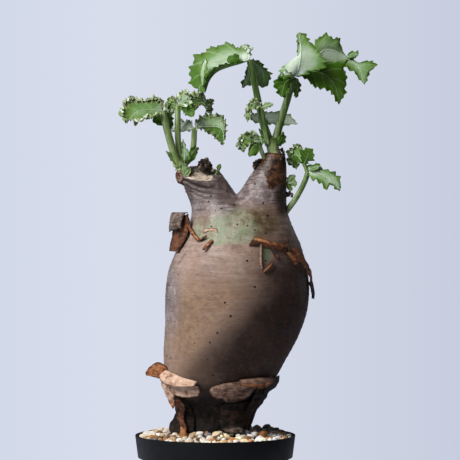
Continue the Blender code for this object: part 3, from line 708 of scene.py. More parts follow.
@dataclass(frozen=True)
class LeafGreen:
    """A waxy leaf.

    The "traits" attribute holds the way across and along, how deep the green is, with painted
    highlight on the edge's wave crests and painted shade in its valleys, and the yellow blush, which
    the crests carry more of as a painted highlight.
    """

    name: str
    waxy: bool

    def material(self) -> Material:
        """Builds the material: the waxy side is paler than the underside."""
        g = Graph(self.name, 0.55)
        across, along, deep, blush = g.trait("traits")
        cloud = g.noise(6, 2, 0.5)
        grain = g.noise(1.1, 3, 0.6)
        if self.waxy:
            stops = (0.0, (200, 216, 200)), (0.26, (158, 178, 150)), (0.5, (106, 140, 82))
        else:
            stops = (0.0, (156, 176, 138)), (0.26, (122, 148, 94)), (0.5, (88, 120, 52))
        rim = g.calc("MULTIPLY", g.calc("POWER", across, 3.0), 0.7)
        share = g.calc("ADD", deep, rim)
        share = g.calc("ADD", share, g.calc("MULTIPLY", g.calc("SUBTRACT", cloud, 0.5), 0.4))
        colour = g.ramp(share, *stops, (0.76, (80, 112, 38)), (1.0, (60, 98, 16)))
        wave = g.calc("SUBTRACT", g.calc("MULTIPLY", along, 6.0), g.calc("MULTIPLY", across, 1.4))
        vein = g.calc("ABSOLUTE", g.calc("SUBTRACT", g.calc("FRACT", wave), 0.5))
        vein = g.ramp(g.calc("MINIMUM", vein, g.calc("MULTIPLY", across, 2.2)), (0.02, 1.0), (0.09, 0.0))
        colour = g.mix(g.calc("MULTIPLY", vein, 0.22), colour, (176, 196, 154))
        colour = g.mix(g.ramp(grain, (0.36, 0.16), (0.52, 0.0)), colour, (58, 88, 26))
        edge = g.calc("MULTIPLY", g.ramp(across, (0.5, 0.0), (0.9, 1.0)), blush)
        colour = g.mix(edge, colour, (182, 184, 140))
        g.relief((grain, 0.008), (vein, 0.04))
        return g.finish(colour, specular_ior_level=0.14)


@dataclass(frozen=True)
class StalkGreen:
    """Juicy green stalks with pale streaks, deeper green towards their top: painted shade under the leaves.
    """

    def material(self) -> Material:
        """Builds the material."""
        g = Graph("stalk_green", 0.42)
        _, along, deep, _ = g.trait("traits")
        streak = g.noise(1.0, 5, 0.6, g.stretched((900, 900, 45)))
        cloud = g.noise(7, 4)
        young = g.ramp(streak, (0.36, (104, 126, 62)), (0.5, (128, 150, 92)), (0.64, (164, 182, 136)))
        firm = g.ramp(streak, (0.36, (50, 76, 24)), (0.5, (74, 102, 42)), (0.64, (120, 144, 90)))
        # The share up the stalk deepens the green towards its top: painted shade under the leaves.
        share = g.calc("ADD", g.calc("ADD", along, deep), g.calc("SUBTRACT", cloud, 0.5))
        colour = g.mix(g.ramp(share, (0.3, 0.0), (0.9, 1.0)), young, firm)
        g.relief((streak, 0.2), (g.noise(0.6, 4), 0.04))
        return g.finish(colour, specular_ior_level=0.45)


class BarkTone(Enum):
    """The finishes that dead bark dries to: darkest, middle and palest colour."""

    ORANGE = ((62, 30, 14), (144, 84, 46), (196, 142, 96))
    GREY = ((48, 35, 29), (96, 79, 69), (144, 127, 116))
    CORK = ((116, 80, 58), (192, 158, 134), (214, 188, 167))
    # Painted shade: cork as dark as it looks on the front plates, which lie in shade.
    SHADED_CORK = ((48, 31, 24), (112, 84, 71), (154, 125, 108))
    UMBER = ((9, 5, 4), (30, 19, 15), (68, 48, 38))
    RUST = ((24, 12, 7), (78, 43, 25), (138, 84, 50))

    def _lay(self, g: Graph, grain: Socket, mask: Socket, under: Socket) -> Socket:
        """Lays this tone over a colour where the mask is high, by a grain that runs from 0 to 1."""
        return g.mix(g.ramp(mask, (0.3, 0.0), (0.6, 1.0)), under, self._paint(g, grain))

    def _paint(self, g: Graph, grain: Socket) -> Socket:
        """This tone's colour by a grain that runs from 0 to 1."""
        dark, middle, pale = self.value
        return g.ramp(grain, (0.38, dark), (0.49, middle), (0.6, pale))

    def material(self) -> Material:
        """Builds the finish, or gives the one already made.

        The mesh's "traits" attribute holds how much orange inner bark and how much grey weathering
        lie over it, and how near its edge is, for the painted shade along its edges.
        """
        name = f"bark_{self.name.lower()}"
        if name in bpy.data.materials:
            return bpy.data.materials[name]
        g = Graph(name, 0.8)
        inner, weathered, painted_edge_shade, _ = g.trait("traits")
        firm = self in (BarkTone.CORK, BarkTone.SHADED_CORK)
        depth = 0.05 if firm else 0.3
        layer = g.noise(1.0, 8, 0.7, g.stretched((130, 130, 700), (0, 12, 0)))
        blotch = g.noise(4, 6, 0.6)
        grain = g.calc("MULTIPLY", g.calc("ADD", layer, blotch), 0.5)
        broken = g.calc("MULTIPLY", g.calc("SUBTRACT", blotch, 0.5), 1.2)
        dark = self.value[0]
        colour = self._paint(g, grain)
        colour = BarkTone.ORANGE._lay(g, grain, g.calc("ADD", inner, broken), colour)
        colour = BarkTone.GREY._lay(g, grain, g.calc("ADD", weathered, broken), colour)
        crack = g.noise(1.0, 3, 0.5, g.stretched((70, 70, 700), (0, 8, 0)), 1.5)
        crack = g.ramp(crack, (0.47, 0.0), (0.5, 0.75), (0.53, 0.0))
        colour = g.mix(g.calc("MULTIPLY", crack, 0.5 if firm else 1.0), colour, dark)
        # Painted shade: a dark band along the flake's edges, where it lifts off the bark.
        colour = g.mix(g.calc("MULTIPLY", painted_edge_shade, 0.85), colour, g.mix(1.0, dark, 0.4, "MULTIPLY"))
        g.relief((layer, depth), (g.noise(0.7, 6), 0.4 * depth), (crack, -0.7 * depth))
        return g.finish(colour, specular_ior_level=0.3)


@dataclass(frozen=True)
class StudioFloor:
    """A plain pale floor."""

    colour: Colour = (208, 213, 228)

    def material(self) -> Material:
        """Builds the material."""
        g = Graph("studio_floor", 0.7)
        grain = g.ramp(g.noise(30, 3), (0.3, 0.97), (0.7, 1.0))
        return g.finish(g.mix(1.0, self.colour, grain, "MULTIPLY"))


@dataclass(frozen=True)
class Blade:
    """A leaf blade: its midrib and the edges of its two halves, from foot to tip, in millimetres.

    crisp is how far the edge waves, tooth the height of its teeth, tones how deep the green of each
    half is, blush how far the edge has yellowed, tip how much deeper the green is at the tip and
    lobed how many of its halves carry small crimped lobes along their edge.
    """

    spine: Line
    first: Line
    second: Line
    crisp: float = 0.5
    tooth: float = 0.8
    tones: tuple[float, float] = (0.3, 0.3)
    blush: float = 0.0
    tip: float = 0.0
    lobed: int = 0


@dataclass(frozen=True)
class Stalk:
    """A leaf stalk or leafy stem: its radius at the foot and the top, and its points, in millimetres.

    deep is how far its green deepens, below 0 for a paler one.
    """

    foot: float
    top: float
    points: Line
    deep: float = 0.0


RIGHT_BLADES: dict[str, Blade] = {
    "arching": Blade(((19.2, -3, 290.2), (13.8, -6, 288), (7.7, -8, 286.1), (1, -9.5, 283.2), (-3.2, -11,
      278.4), (-5.7, -11, 271.4)), ((18.3, -2, 296.4), (13.9, 0, 297.1), (9.4, 2, 300.1), (3.7, 4, 300.3),
      (-4.2, 5, 297.6), (-9.8, 4, 293.6), (-13.7, 2, 287.8), (-14.8, -1, 281.3), (-13.3, -5, 276), (-9.6,
      -9, 272.7)), ((14.4, -9, 288.8), (7.7, -13, 287.9), (1, -15.5, 285.8), (-3.9, -16.5, 281.8), (-6.2,
      -15.5, 276.9)), 0.35, 1.5, (0.22, 0.6), tip=1),
    "arching_fold": Blade(((-5.4, -9, 289.8), (-7.2, -12.4, 282.6), (-7, -12.8, 275)), ((-7.6, -9.8, 287),
      (-8.8, -12, 281.6), (-8.2, -12.6, 277.6)), ((-4.4, -11, 288.4), (-5.4, -13.6, 282.6), (-6, -14,
      278.4)), 0.2, 0.6, (0.34, 0.3)),
    "arching_hollow": Blade(((13.8, -6.4, 290), (10.2, -7.4, 290.4), (6.6, -7.6, 289.4)), ((12.8, -5.6,
      292.6), (10.2, -5.8, 293.2), (7.4, -5.6, 292)), ((12.4, -7.9, 288.6), (10.2, -8.6, 288.2), (7.6, -9,
      288)), 0.2, 0.5, (1, 1)),
    "crisped": Blade(((18.9, -2.6, 291.3), (18.3, -1.5, 295.3), (17.5, 0, 299.4)), ((16.7, 1, 293.9), (15.3,
      1, 297.8)), ((20, -3, 293.5), (19.5, -2, 297.5)), 1, 1.1, (0.15, 0.2), blush=0.5, lobed=2),
    "hanging": Blade(((19.7, -2, 290), (24.6, 3, 286.7), (27.5, 7, 281.9), (26.4, 9, 275.3)), ((22.9, 1,
      290.8), (28, 5, 286.9), (31.4, 8, 282.6), (31.2, 9, 278.7), (29.2, 9, 276.4)), ((20.6, 0, 284.8),
      (21.5, 5, 280.1), (23.5, 8, 276.4)), 0.4, 1.2, (0.5, 0.45)),
    "behind": Blade(((19.5, -2, 289.7), (18.7, 5, 284), (15.3, 9, 275.3)), ((17.8, 3, 287.3), (16.6, 7,
      282.5), (15.3, 9, 278.7)), ((21.2, 2, 285.5), (21.5, 5, 280.1), (19, 8, 276.6)), 0.4, 1.1, (0.5,
      0.42)),
    "fan": Blade(((45.3, -1, 281.3), (47.4, -4, 288.4), (48.1, -2, 297), (46.8, 2, 306.3)), ((40.7, -4,
      279.8), (36.4, -3, 281.6), (37, -2, 286), (40.9, -2, 288.9), (45.2, -2.5, 290.3), (45.8, -2, 296.9),
      (45.7, 0, 302.8)), ((50.3, -2.5, 281.8), (54.6, -4, 284), (60.6, -5, 284.9), (60.9, -5, 289.7), (58.2,
      -4, 295.1), (53.6, -2, 300.2), (50.9, 0, 304.4)), 0.4, 1.6, (-0.02, 0.2), tip=0.4),
    "fan_low": Blade(((44.7, -2, 281.3), (41.2, -7.6, 281.5), (37.2, -9.6, 281)), ((41.7, -6, 283.5), (38.3,
      -8, 284)), ((41.7, -9.4, 279.8), (38.3, -11, 279.2)), 0.8, 1.2, (-0.1, 0.75)),
    "drooping": Blade(((44.8, 0.6, 281.5), (52.7, 2, 284.9), (62.4, 4, 282.3), (68.1, 5.5, 275.1), (69.8, 6,
      265.8)), ((51.1, 5, 287.4), (62.6, 8, 290.2), (71.1, 9, 289.2), (74.2, 8.5, 284.9), (74.2, 8, 279.8),
      (74.1, 7, 273.5), (72.1, 6.5, 269.5)), ((49.3, 0, 280.3), (53.2, 1, 278.1), (56.1, 2, 274.8), (60.1,
      3, 275.2), (64.6, 4, 272.7), (68.1, 5, 268.8)), 0.3, 1.3, (0.8, 0.8)),
    "rear": Blade(((45.9, 1.2, 282.1), (54.1, 8, 289.9), (62.1, 11, 297), (70.8, 14, 295.5), (76.5, 15,
      292.2)), ((54.8, 11, 295.9), (56.5, 12, 301.6), (59.4, 12.5, 305.1), (63.3, 12, 306.2), (66.7, 12,
      304.2), (70.7, 12, 304.2), (71.4, 14, 299), (74.3, 15.5, 294.5)), ((55.1, 5, 286.3), (64.9, 9, 287.8),
      (71.8, 12, 289.1)), 0.5, 1.2, (0.4, 0.15)),
    "rear_tip": Blade(((72, 15, 292.8), (77.7, 14.5, 290.8), (82.1, 13, 286.4), (84.2, 11, 277.4)), ((77.7,
      16, 293.2), (82.8, 15, 290.2), (89, 14, 291), (91.2, 13, 288.6), (88.3, 12.5, 285.2), (86.6, 12,
      281.7)), ((73, 13, 289.2), (75.2, 12, 287.1), (78.4, 12, 284.6), (81.7, 11.5, 280.3)), 0.5, 0.9,
      (0.45, 0.4)),
    "rear_curl": Blade(((74.8, 15, 293.1), (77.6, 13.5, 294.9), (80.8, 11, 294.2)), ((76.5, 14.5, 295.6),
      (79, 12.5, 296.6), (81.1, 11, 295.6)), ((76.5, 14, 292.4), (79.3, 13, 292.3)), 0.7, 0.8, (0.6, 0.4)),
    "under": Blade(((44.2, -1, 280.8), (39.3, -5, 277.1), (37, -7, 269.2)), ((38.5, -5, 280.5), (33.9, -7,
      279.8), (32.5, -7, 276.4), (34.5, -7, 273.1), (35.3, -7, 270.3)), ((42.4, -3, 276.7), (41, -5, 272.7),
      (39.3, -6, 269.2)), 0.5, 1.3, (1, 0.95)),
    "under_back": Blade(((44.2, 1, 280.9), (46.3, 4, 275.5), (45.2, 6, 269.4)), ((43.7, 3, 276), (44.1, 5,
      272.2)), ((47.4, 3, 278.8), (48, 5, 274.5), (46.9, 6, 271.1)), 0.4, 1, (0.9, 0.9)),
    "young": Blade(((26, -5, 263.4), (21.7, -7, 265.8), (18.7, -8.5, 261.8), (17.8, -9, 255.1)), ((24.2, -4,
      267.7), (21.1, -6, 268.1), (18.3, -8, 265.5), (16.9, -9, 260.7)), ((23.3, -8, 262.7), (20.8, -9.5,
      261.8), (19.4, -10, 258.4)), 0.8, 0.7, (0.4, 0.5), blush=0.8, lobed=1),
    "young_tip": Blade(((25.9, -5, 263.4), (28.9, -6, 264.2), (32.5, -6, 265.6)), ((27.8, -5, 265.7), (30.6,
      -5.5, 266.2)), ((27.8, -6, 262.5), (30.6, -6.5, 263.6)), 0.5, 0.6, (0.4, 0.4), blush=0.7),
    "rear_low": Blade(((19.1, 14, 260.3), (26.5, 16, 259), (36.7, 16, 258.7), (46.9, 15, 255.3)), ((23.6,
      16, 261.8), (29.9, 17, 262.2), (36.8, 17, 262.5), (42.4, 16, 260.7), (44.4, 15, 258.1)), ((21.9, 13,
      256.5), (27.6, 14, 255.5), (34.4, 15, 254.9), (41.3, 15, 254.4)), 0.3, 0.7, (0.05, 0.05)),
    "stipule": Blade(((27.9, -2.4, 245.9), (25.9, -3.2, 249), (24.2, -3.6, 251.7)), ((26.2, -2.6, 247),
      (24.8, -3.4, 249.8)), ((27.9, -2.6, 248.2), (26, -3.4, 250.6)), 0.1, 0.1, (1, 1)),
    "bud": Blade(((34.3, -1.6, 242), (36.8, -3, 245.3), (38.2, -3, 250.1)), ((35.1, -4, 245.3), (36.5, -4,
      248.6)), ((37.4, -1.5, 242.6), (39.1, -2, 244.8), (39.3, -3, 247.6)), 0.6, 0.9, (0.8, 0.8)),
}
LEFT_BLADES: dict[str, Blade] = {
    "outer": Blade(((-29.2, -5, 261.2), (-36.4, -8, 261.8), (-43.5, -10.5, 260.6), (-49.9, -12, 254.1)),
      ((-28.8, -2, 267.2), (-33.2, -3, 269.7), (-38.2, -4, 268.8), (-43.8, -5, 268.7), (-48.1, -7, 269.4),
      (-51.7, -9, 265.1), (-52.1, -11, 260)), ((-32.4, -9, 258.4), (-36.8, -12, 257.2), (-40.6, -13.5,
      255.4), (-44.2, -14, 254.6), (-46.7, -13.5, 256.8)), 1.1, 0.9, (0.5, 0.42), blush=0.9, lobed=2,
      tip=0.3),
    "outer_low": Blade(((-29, -4.6, 261.2), (-27.7, -1, 257.2), (-26.7, 2.4, 250.6)), ((-32.6, -5, 259.8),
      (-35.1, -4, 256.8), (-32.7, -2, 253.8), (-29.4, 0, 252.8)), ((-25.4, -1, 261.1), (-23.8, 0, 257.3),
      (-24.1, 2, 252.9)), 0.6, 0.9, (0.85, 0.85)),
    "middle": Blade(((-21, 0.4, 265.1), (-16, 3, 268.7), (-9.3, 6, 268.6), (-4.2, 8.5, 266.2), (-2, 10,
      260.9)), ((-20.2, 2, 272), (-15.4, 3, 271.5), (-12.1, 5, 272.8), (-8.1, 6, 272.5), (-5, 8, 269.6),
      (-1.9, 9.5, 268.3), (-1.4, 10, 264.6)), ((-16.5, 1, 264.6), (-11.4, 2, 263), (-8.1, 5, 265.4), (-5.3,
      7, 263.9), (-3.6, 9, 261.7)), 1.1, 0.9, (0.5, 0.65), blush=0.9, lobed=2),
    "middle_crest": Blade(((-20.9, -1, 265.1), (-17.8, -4.5, 267.4), (-14.4, -6, 268.7)), ((-21.2, -2,
      269.5), (-19.2, -3.5, 272.5), (-15.8, -5, 272.1)), ((-17.5, -4.5, 264), (-13.8, -6, 265.3)), 0.9, 0.7,
      (0.25, 0.25), blush=1, lobed=2),
    "middle_low": Blade(((-20.8, -0.4, 265.1), (-15.8, -4, 263.2), (-12.4, -7, 258)), ((-17.5, -4, 266),
      (-13, -6, 264.5), (-11.3, -7, 261.3)), ((-19.5, -2, 262.2), (-16.7, -4, 259.8), (-14.1, -6, 258.3)),
      0.6, 0.9, (0.85, 0.85)),
    "middle_back": Blade(((-21.2, 0.4, 265.1), (-25, 4, 265.9), (-25.4, 7, 260.2)), ((-22.4, 2, 269.5),
      (-26.1, 4, 269.6), (-27.9, 6, 266.1), (-27.4, 7, 262.7)), ((-22.1, 2, 263), (-23.3, 5, 260.9)), 1,
      0.7, (0.75, 0.7), blush=0.9, lobed=2),
    "inner": Blade(((-11.5, 3.8, 252.4), (-5.3, 2, 253.1), (1.2, 0, 253), (4.4, -1.5, 250.4), (4.4, -2,
      242.3)), ((-9.8, 5, 258.1), (-5.3, 5, 260.6), (-0.8, 4, 260.6), (3.2, 3, 259.7), (5.7, 1.5, 256.8),
      (5.7, 0, 251.6)), ((-6.9, 1, 251.4), (-4.1, 0, 249.3), (-1.3, -1, 247.1), (1.5, -2, 244.7)), 1.1, 0.9,
      (0.3, 1), blush=0.5, lobed=1),
    "inner_back": Blade(((-11.8, 4.2, 252.4), (-17.7, 6, 253.6), (-25.2, 8, 251)), ((-14.4, 8, 257.1),
      (-18.9, 9.6, 257.4), (-23.2, 10.4, 254.9)), ((-14.3, 4, 250.8), (-18.9, 5.4, 250.4), (-22.9, 7,
      250.1)), 0.8, 0.7, (-0.5, -0.5), blush=0.3),
    "spire": Blade(((-17.5, -3.4, 231), (-17, -5.5, 238), (-18.3, -6, 245.8)), ((-18.9, -4.5, 234.6),
      (-18.9, -6, 241.3)), ((-15.3, -4.5, 233.5), (-14.1, -6, 236.8), (-16.3, -6, 241.3)), 0.5, 0.6, (0.3,
      0.25)),
    "low_right": Blade(((-16.5, -3.6, 231.3), (-13.8, -5.4, 236.3), (-10.2, -5.4, 241.3)), ((-16.1, -5.5,
      235.7), (-14.1, -5.8, 239.6), (-11.6, -5.6, 241.9)), ((-13, -4, 233.5), (-10.2, -4.5, 236.9), (-8.9,
      -5, 239.9)), 0.6, 0.7, (0.6, 0.7)),
    "low_left": Blade(((-20.9, -3, 231.9), (-24.2, -5, 235.2), (-27.5, -6, 239.3)), ((-23.1, -5, 232.4),
      (-26.1, -6, 236.3)), ((-21.7, -4, 235.8), (-23.9, -5, 238)), 0.5, 0.5, (0.5, 0.6), blush=0.4),
    "curl_front": Blade(((-15.8, -7.4, 225), (-17.7, -8, 227.8), (-18.8, -7.4, 231.5)), ((-17.7, -8, 226.1),
      (-19.6, -8, 229.5)), ((-14.6, -8, 227.8), (-15.8, -7.4, 230.9)), 0.6, 0.5, (0.5, 0.4), blush=0.6),
    "curl_low": Blade(((-18, -7.6, 225.3), (-15.7, -8.4, 227.2), (-14.1, -7.6, 229.8)), ((-17.7, -8, 227.3),
      (-15.7, -8, 229.5)), ((-15.7, -8, 224.7), (-13.8, -8, 227.3)), 0.5, 0.5, (0.5, 0.45), blush=0.6),
}
INNER_BLADES: dict[str, Blade] = {
    "crisped": Blade(((23.9, -6, 243.8), (18.3, -8, 246.2), (14.4, -9.5, 243.4), (15.8, -10, 238.1)),
      ((23.4, -5, 248.6), (19.4, -6, 249.9), (15.8, -8, 249), (13.3, -10, 245.6), (13, -11, 241.1)), ((21.1,
      -8.5, 243.1), (18.3, -10, 241.7), (16.9, -10.5, 239.4)), 1, 0.9, (0.45, 0.6), blush=0.6, lobed=1),
    "smooth": Blade(((23.9, -6, 243.5), (20.8, -9.5, 240.6), (18.7, -10.5, 235.8)), ((21.1, -8.5, 243.7),
      (18.6, -10, 240.6), (18.3, -10.5, 237.8)), ((24.2, -7.5, 240.1), (23.6, -9.5, 237.2), (21.1, -10.5,
      236.1)), 0.3, 0.4, (0.75, 0.7)),
    "small": Blade(((24.7, -5.4, 241.3), (25.9, -6, 244.4), (24.9, -6, 247.7)), ((23.9, -6, 243.5), (23.8,
      -6, 246.3)), ((26.7, -6, 243.5), (26.4, -6, 246.3)), 0.5, 0.5, (0.4, 0.4)),
}
SIDE_BLADES: dict[str, Blade] = {
    "long": Blade(((51.4, -4, 227.1), (57.4, -6, 226.5), (64.6, -7.5, 222.8), (69.6, -8, 216.7)), ((50.8,
      -3, 231.3), (55.3, -4, 231), (59.7, -5, 229.6), (65.2, -6.5, 227.6), (69.1, -7.5, 225), (70.2, -8,
      220)), ((52.4, -6, 225.1), (56.3, -7.5, 222.8), (59.3, -8.5, 220.6), (61.7, -9, 217.2), (64, -9,
      220.5), (67.3, -9, 218.6)), 0.5, 1.2, (0.3, 0.35)),
    "back": Blade(((49.4, -4, 231.9), (45.9, 0, 237), (43.2, 3, 235.5), (44.4, 5, 229.9)), ((48.7, -1,
      240.4), (46.2, 1, 243.5), (42.6, 3, 241.7), (40.7, 5, 237.8), (41, 6, 232.7)), ((47.5, -1, 232.5),
      (47.1, 2, 230.9), (45.7, 4, 229)), 0.9, 0.9, (0.6, 0.85), blush=0.4, lobed=1),
    "bright": Blade(((49.4, -4, 231.3), (51.3, -6.5, 235.7), (52.4, -7, 240.7)), ((47.9, -5, 233.5), (47.6,
      -6.5, 237.4), (49.6, -7, 240.1)), ((52.4, -5.5, 232.9), (55.2, -6.5, 234.3), (55.4, -7, 237.6), (53.8,
      -7, 239.9)), 0.4, 1.2, (0.9, 0.85)),
    "spur": Blade(((52.4, -5, 228.5), (55.7, -6.5, 230.1), (59.1, -7, 230.9)), ((53.5, -5.5, 230.4), (56.9,
      -6.5, 232)), ((54.6, -6, 227.9), (57.4, -7, 228.7)), 0.6, 0.7, (0.6, 0.4)),
}
BUD_BLADES: dict[str, Blade] = {
    "upper": Blade(((40.5, -2, 220.7), (42.2, -3, 223.5), (44.4, -3, 226)), ((40.2, -2.5, 223.5), (41.9, -3,
      225.7)), ((43, -2.6, 221.8), (44.7, -3, 224)), 0.4, 0.6, (0.4, 0.5), blush=0.4),
    "lower": Blade(((40.5, -2, 220.7), (41.9, -3, 218.7), (42.4, -3.6, 216.7)), ((39.6, -2.6, 218.4), (40.7,
      -3, 217.3)), ((42.4, -2.8, 220.1), (43.5, -3.4, 217.9)), 0.3, 0.6, (0.8, 0.8)),
    "side": Blade(((40.8, -2.4, 221), (43.3, -3.4, 221.2), (45.8, -3.6, 220.9)), ((41.9, -2.8, 222.6),
      (44.4, -3.4, 222.9)), ((42.2, -3, 219.6), (44.4, -3.6, 219.3)), 0.4, 0.6, (0.4, 0.5), blush=0.4),
}
SPROUT_BLADES: dict[str, Blade] = {
    "tip": Blade(((1.9, -2.6, 228.3), (2.3, -3, 229.9), (2.9, -3.2, 231.9)), ((0.7, -2.8, 229.4), (0.7, -3,
      230.8)), ((3.2, -3, 229.4), (3.5, -3.2, 230.8)), 0.2, 0.3, (0.8, 0.8)),
}


@dataclass
class Shoot:
    """A leafy shoot: its stalks and its blades, joined into one piece.

    node is the CAD node that it replaces, stalks its stalks with the stem first, blades its blades by
    name, leaf the finishes of a leaf's waxy side and its underside, and seed sets its random draws.
    The sizes are in millimetres.
    """

    node: str
    stalks: Sequence[Stalk]
    blades: dict[str, Blade]
    leaf: Sequence[Material]
    seed: int
    tooth_pitch: float = 3.8
    frill_pitch: float = 3.4
    wave_pitch: float = 10.0
    blade_thickness: float = 0.38
    row_pitch: float = 0.4
    most_rows: int = 130
    column_pitch: float = 1.2
    side_columns: int = 9
    lobe_pitch: float = 2.5
    lobe_reach: float = 1.6

    def __post_init__(self) -> None:
        """Starts the random draws."""
        self.rng = random.Random(self.seed)

    def build(self) -> Object:
        """Models the shoot and puts it in place of its node."""
        shell = Shell()
        for stalk in self.stalks:
            shell.add(self._stalk(stalk))
        for blade in self.blades.values():
            shell.add(self._midrib(blade))
        for blade in self.blades.values():
            shell.add(self._blade(blade))
            for lobe in self._lobes(blade):
                shell.add(self._blade(lobe))
        obj = shell.piece(f"{self.node}_fine", StalkGreen().material(), *self.leaf, sharp=55.0)
        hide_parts(self.node)
        return obj

    @staticmethod
    def _stalk(stalk: Stalk) -> BMesh:
        """A stalk, swollen where it leaves the stem and where it meets the leaf.

        Args:
            stalk: its form.

        Returns:
            The closed body.
        """

        def radius(share: float) -> float:
            """The radius at a share of the stalk's length."""
            swell = 1 + 0.22 * (1 - smooth(0.0, 0.18, share)) + 0.12 * smooth(0.9, 1.0, share)
            return (stalk.foot + (stalk.top - stalk.foot) * share) * swell * (1 if share < 1 else 0.8)

        body = tube(stalk.points, radius, 14, 26)
        traits = body.verts.layers.float_color.new("traits")
        foot, top = stalk.points[0][2], stalk.points[-1][2]
        for vert in body.verts:
            # The share up the stalk, for the painted shade towards its top.
            share = (vert.co.z / MM - foot) / (top - foot)
            vert[traits] = (0.0, min(max(share, 0.0), 1.0), stalk.deep, 0.0)
            vert.co += vert.co.normalized() * wobble(vert.co, 4.0, 3.0) * 0.12 * MM
        return body

    def _midrib(self, blade: Blade) -> BMesh:
        """The pale midrib along a blade, tapered to its tip.

        Args:
            blade: the blade.

        Returns:
            The closed body.
        """
        width = min(0.4, 0.16 + Path(blade.spine).length / MM * 0.01)
        body = tube(blade.spine, lambda share: width * (1 - 0.85 * share) + 0.05, 8, 12)
        traits = body.verts.layers.float_color.new("traits")
        for vert in body.verts:
            vert[traits] = (0.0, 0.5, min(blade.tones) - 0.2, 0.0)
        for face in body.faces:
            face.material_index = 1
        return body

    def _lobes(self, blade: Blade) -> list[Blade]:
        """The small crimped lobes that stand up along a blade's edges.

        Args:
            blade: the blade.

        Returns:
            The lobes, each a small blade of its own.
        """
        spine, draw = Path(blade.spine), self.rng.uniform
        lobes = []
        for side, tone in tuple(zip((blade.first, blade.second), blade.tones))[: blade.lobed]:
            edge = Path((blade.spine[0], *side, blade.spine[-1]))
            count = round(edge.length / MM / self.lobe_pitch)
            for index in range(count):
                share = (index + draw(0.2, 0.8)) / count
                rim, run = edge.at(share) / MM, edge.heading(share)
                out = rim - spine.at(share) / MM
                if out.length < self.lobe_reach:
                    continue
                out.normalize()
                foot = rim - out * draw(1.2, 3.6) - Vector((0.0, draw(0.6, 1.4), 0.0))
                lean = out * draw(0.6, 1.2) + run * draw(-0.7, 0.7)
                lean += Vector((0.0, 0.8 * out.z + draw(-0.2, 0.2), 0.0))
                tip = foot + lean.normalized() * draw(2.6, 3.8)
                middle = foot.lerp(tip, 0.6) - Vector((0.0, draw(0.0, 0.5), 0.0))
                wide = run * draw(1.2, 1.9) + Vector((0.0, draw(-0.3, 0.3), 0.0))
                deep = tone - draw(0.0, 0.6)
                line = tuple(foot), tuple(middle), tuple(tip)
                sides = (tuple(middle - wide),), (tuple(middle + wide),)
                lobes.append(Blade(line, *sides, crisp=0.2, tooth=0.4, tones=(deep, deep), blush=0.75))
        return lobes

    def _blade(self, blade: Blade) -> BMesh:
        """A thin closed blade with a toothed, waved edge.

        Args:
            blade: its form.

        Returns:
            The closed body.
        """
        spine = Path(blade.spine)
        edges = [Path((blade.spine[0], *side, blade.spine[-1])) for side in (blade.first, blade.second)]
        reach = max(e.length for e in edges) / MM
        rows = max(8, min(self.most_rows, round(reach / self.row_pitch)))
        columns = max(3, min(self.side_columns, round(reach / self.column_pitch)))
        phases = [self.rng.uniform(0, 6.28) for _ in range(4)]
        seed = self.rng.uniform(0, 50)
        bm = bmesh.new()
        bmesh.ops.create_grid(bm, x_segments=2 * columns, y_segments=rows, size=1.0)
        traits = bm.verts.layers.float_color.new("traits")
        for vert in bm.verts:
            across, along = vert.co.x, min(max((vert.co.y + 1) / 2, 0.0), 1.0)
            side = 0 if across < 0 else 1
            vert.co, crest = self._blade_point(blade, spine, edges[side], across, along, phases[side], seed)
            # Wave crests of the edge are painted paler and its valleys deeper green, as painted highlight
            # and shade, and the crests carry more blush.
            deep = blade.tones[side] + blade.tip * smooth(0.52, 0.85, along) - 0.25 * crest
            deep -= 0.3 * smooth(0.3, 0.0, along) * smooth(1.0, 0.5, abs(across))
            vert[traits] = (abs(across), along, deep, blade.blush * min(max(0.65 + 0.35 * crest, 0.0), 1.0))
        bmesh.ops.remove_doubles(bm, verts=bm.verts, dist=0.01 * MM)
        bmesh.ops.recalc_face_normals(bm, faces=bm.faces)
        bm.normal_update()
        if sum(f.normal.y * f.calc_area() for f in bm.faces) > 0:
            bmesh.ops.reverse_faces(bm, faces=bm.faces)
        for face in bm.faces:
            face.material_index = 1
            face.smooth = True
        return opened(thickened(bm, self.blade_thickness, -1.0, 3))

    def _blade_point(
        self, blade: Blade, spine: Path, edge: Path, across: float, along: float, phase: float, seed: float
    ) -> tuple[Vector, float]:
        """A point of a blade.

        Args:
            blade: the blade.
            spine: its midrib.
            edge: the edge of the half that the point is on.
            across: the way across, from -1 through the midrib at 0 to 1.
            along: the way from foot to tip, from 0 to 1.
            phase: where this edge's waves start.
            seed: shifts this blade's noise.

        Returns:
            The point, in metres, and how high it stands on a wave of the edge, from -1 to 1.
        """
        base, rim = spine.at(along), edge.at(along)
        out = abs(across)
        reach = rim - base
        if reach.length < 1e-7:
            return base, 0.0
        normal = edge.heading(along).cross(reach).normalized() * (1 if across > 0 else -1)
        ends = smooth(0.0, 0.1, along) * smooth(0.0, 0.08, 1 - along)
        walked = edge.length * along / MM
        drift = wobble(rim, 7.0, seed)
        frilly = smooth(0.55, 0.85, blade.crisp)
        place = walked / min(self.tooth_pitch - 1.3 * frilly, edge.length / MM / 4) + 0.45 * drift
        cut = self._saw(place) * (0.85 + 0.45 * noise.cell(Vector((math.floor(place), phase, seed))))
        cut += 0.5 * self._saw(place / 2.6 + phase) - 0.75
        cut *= 1.55 * blade.tooth * smooth(0.72, 1.0, out) * ends
        turn = 2 * math.pi * walked / (self.wave_pitch + (self.frill_pitch - self.wave_pitch) * frilly)
        turn += (0.8 + 1.2 * frilly) * drift
        wave = 0.7 * math.sin(turn + phase) + 0.3 * math.sin(1.7 * turn + 1.7 * phase)
        reach_out = smooth(0.62 - 0.1 * frilly, 1.1, out)
        lift = 2.1 * blade.crisp * wave * reach_out * ends
        sway = 0.8 * wobble(base + reach * out, 12.0, seed + 9)
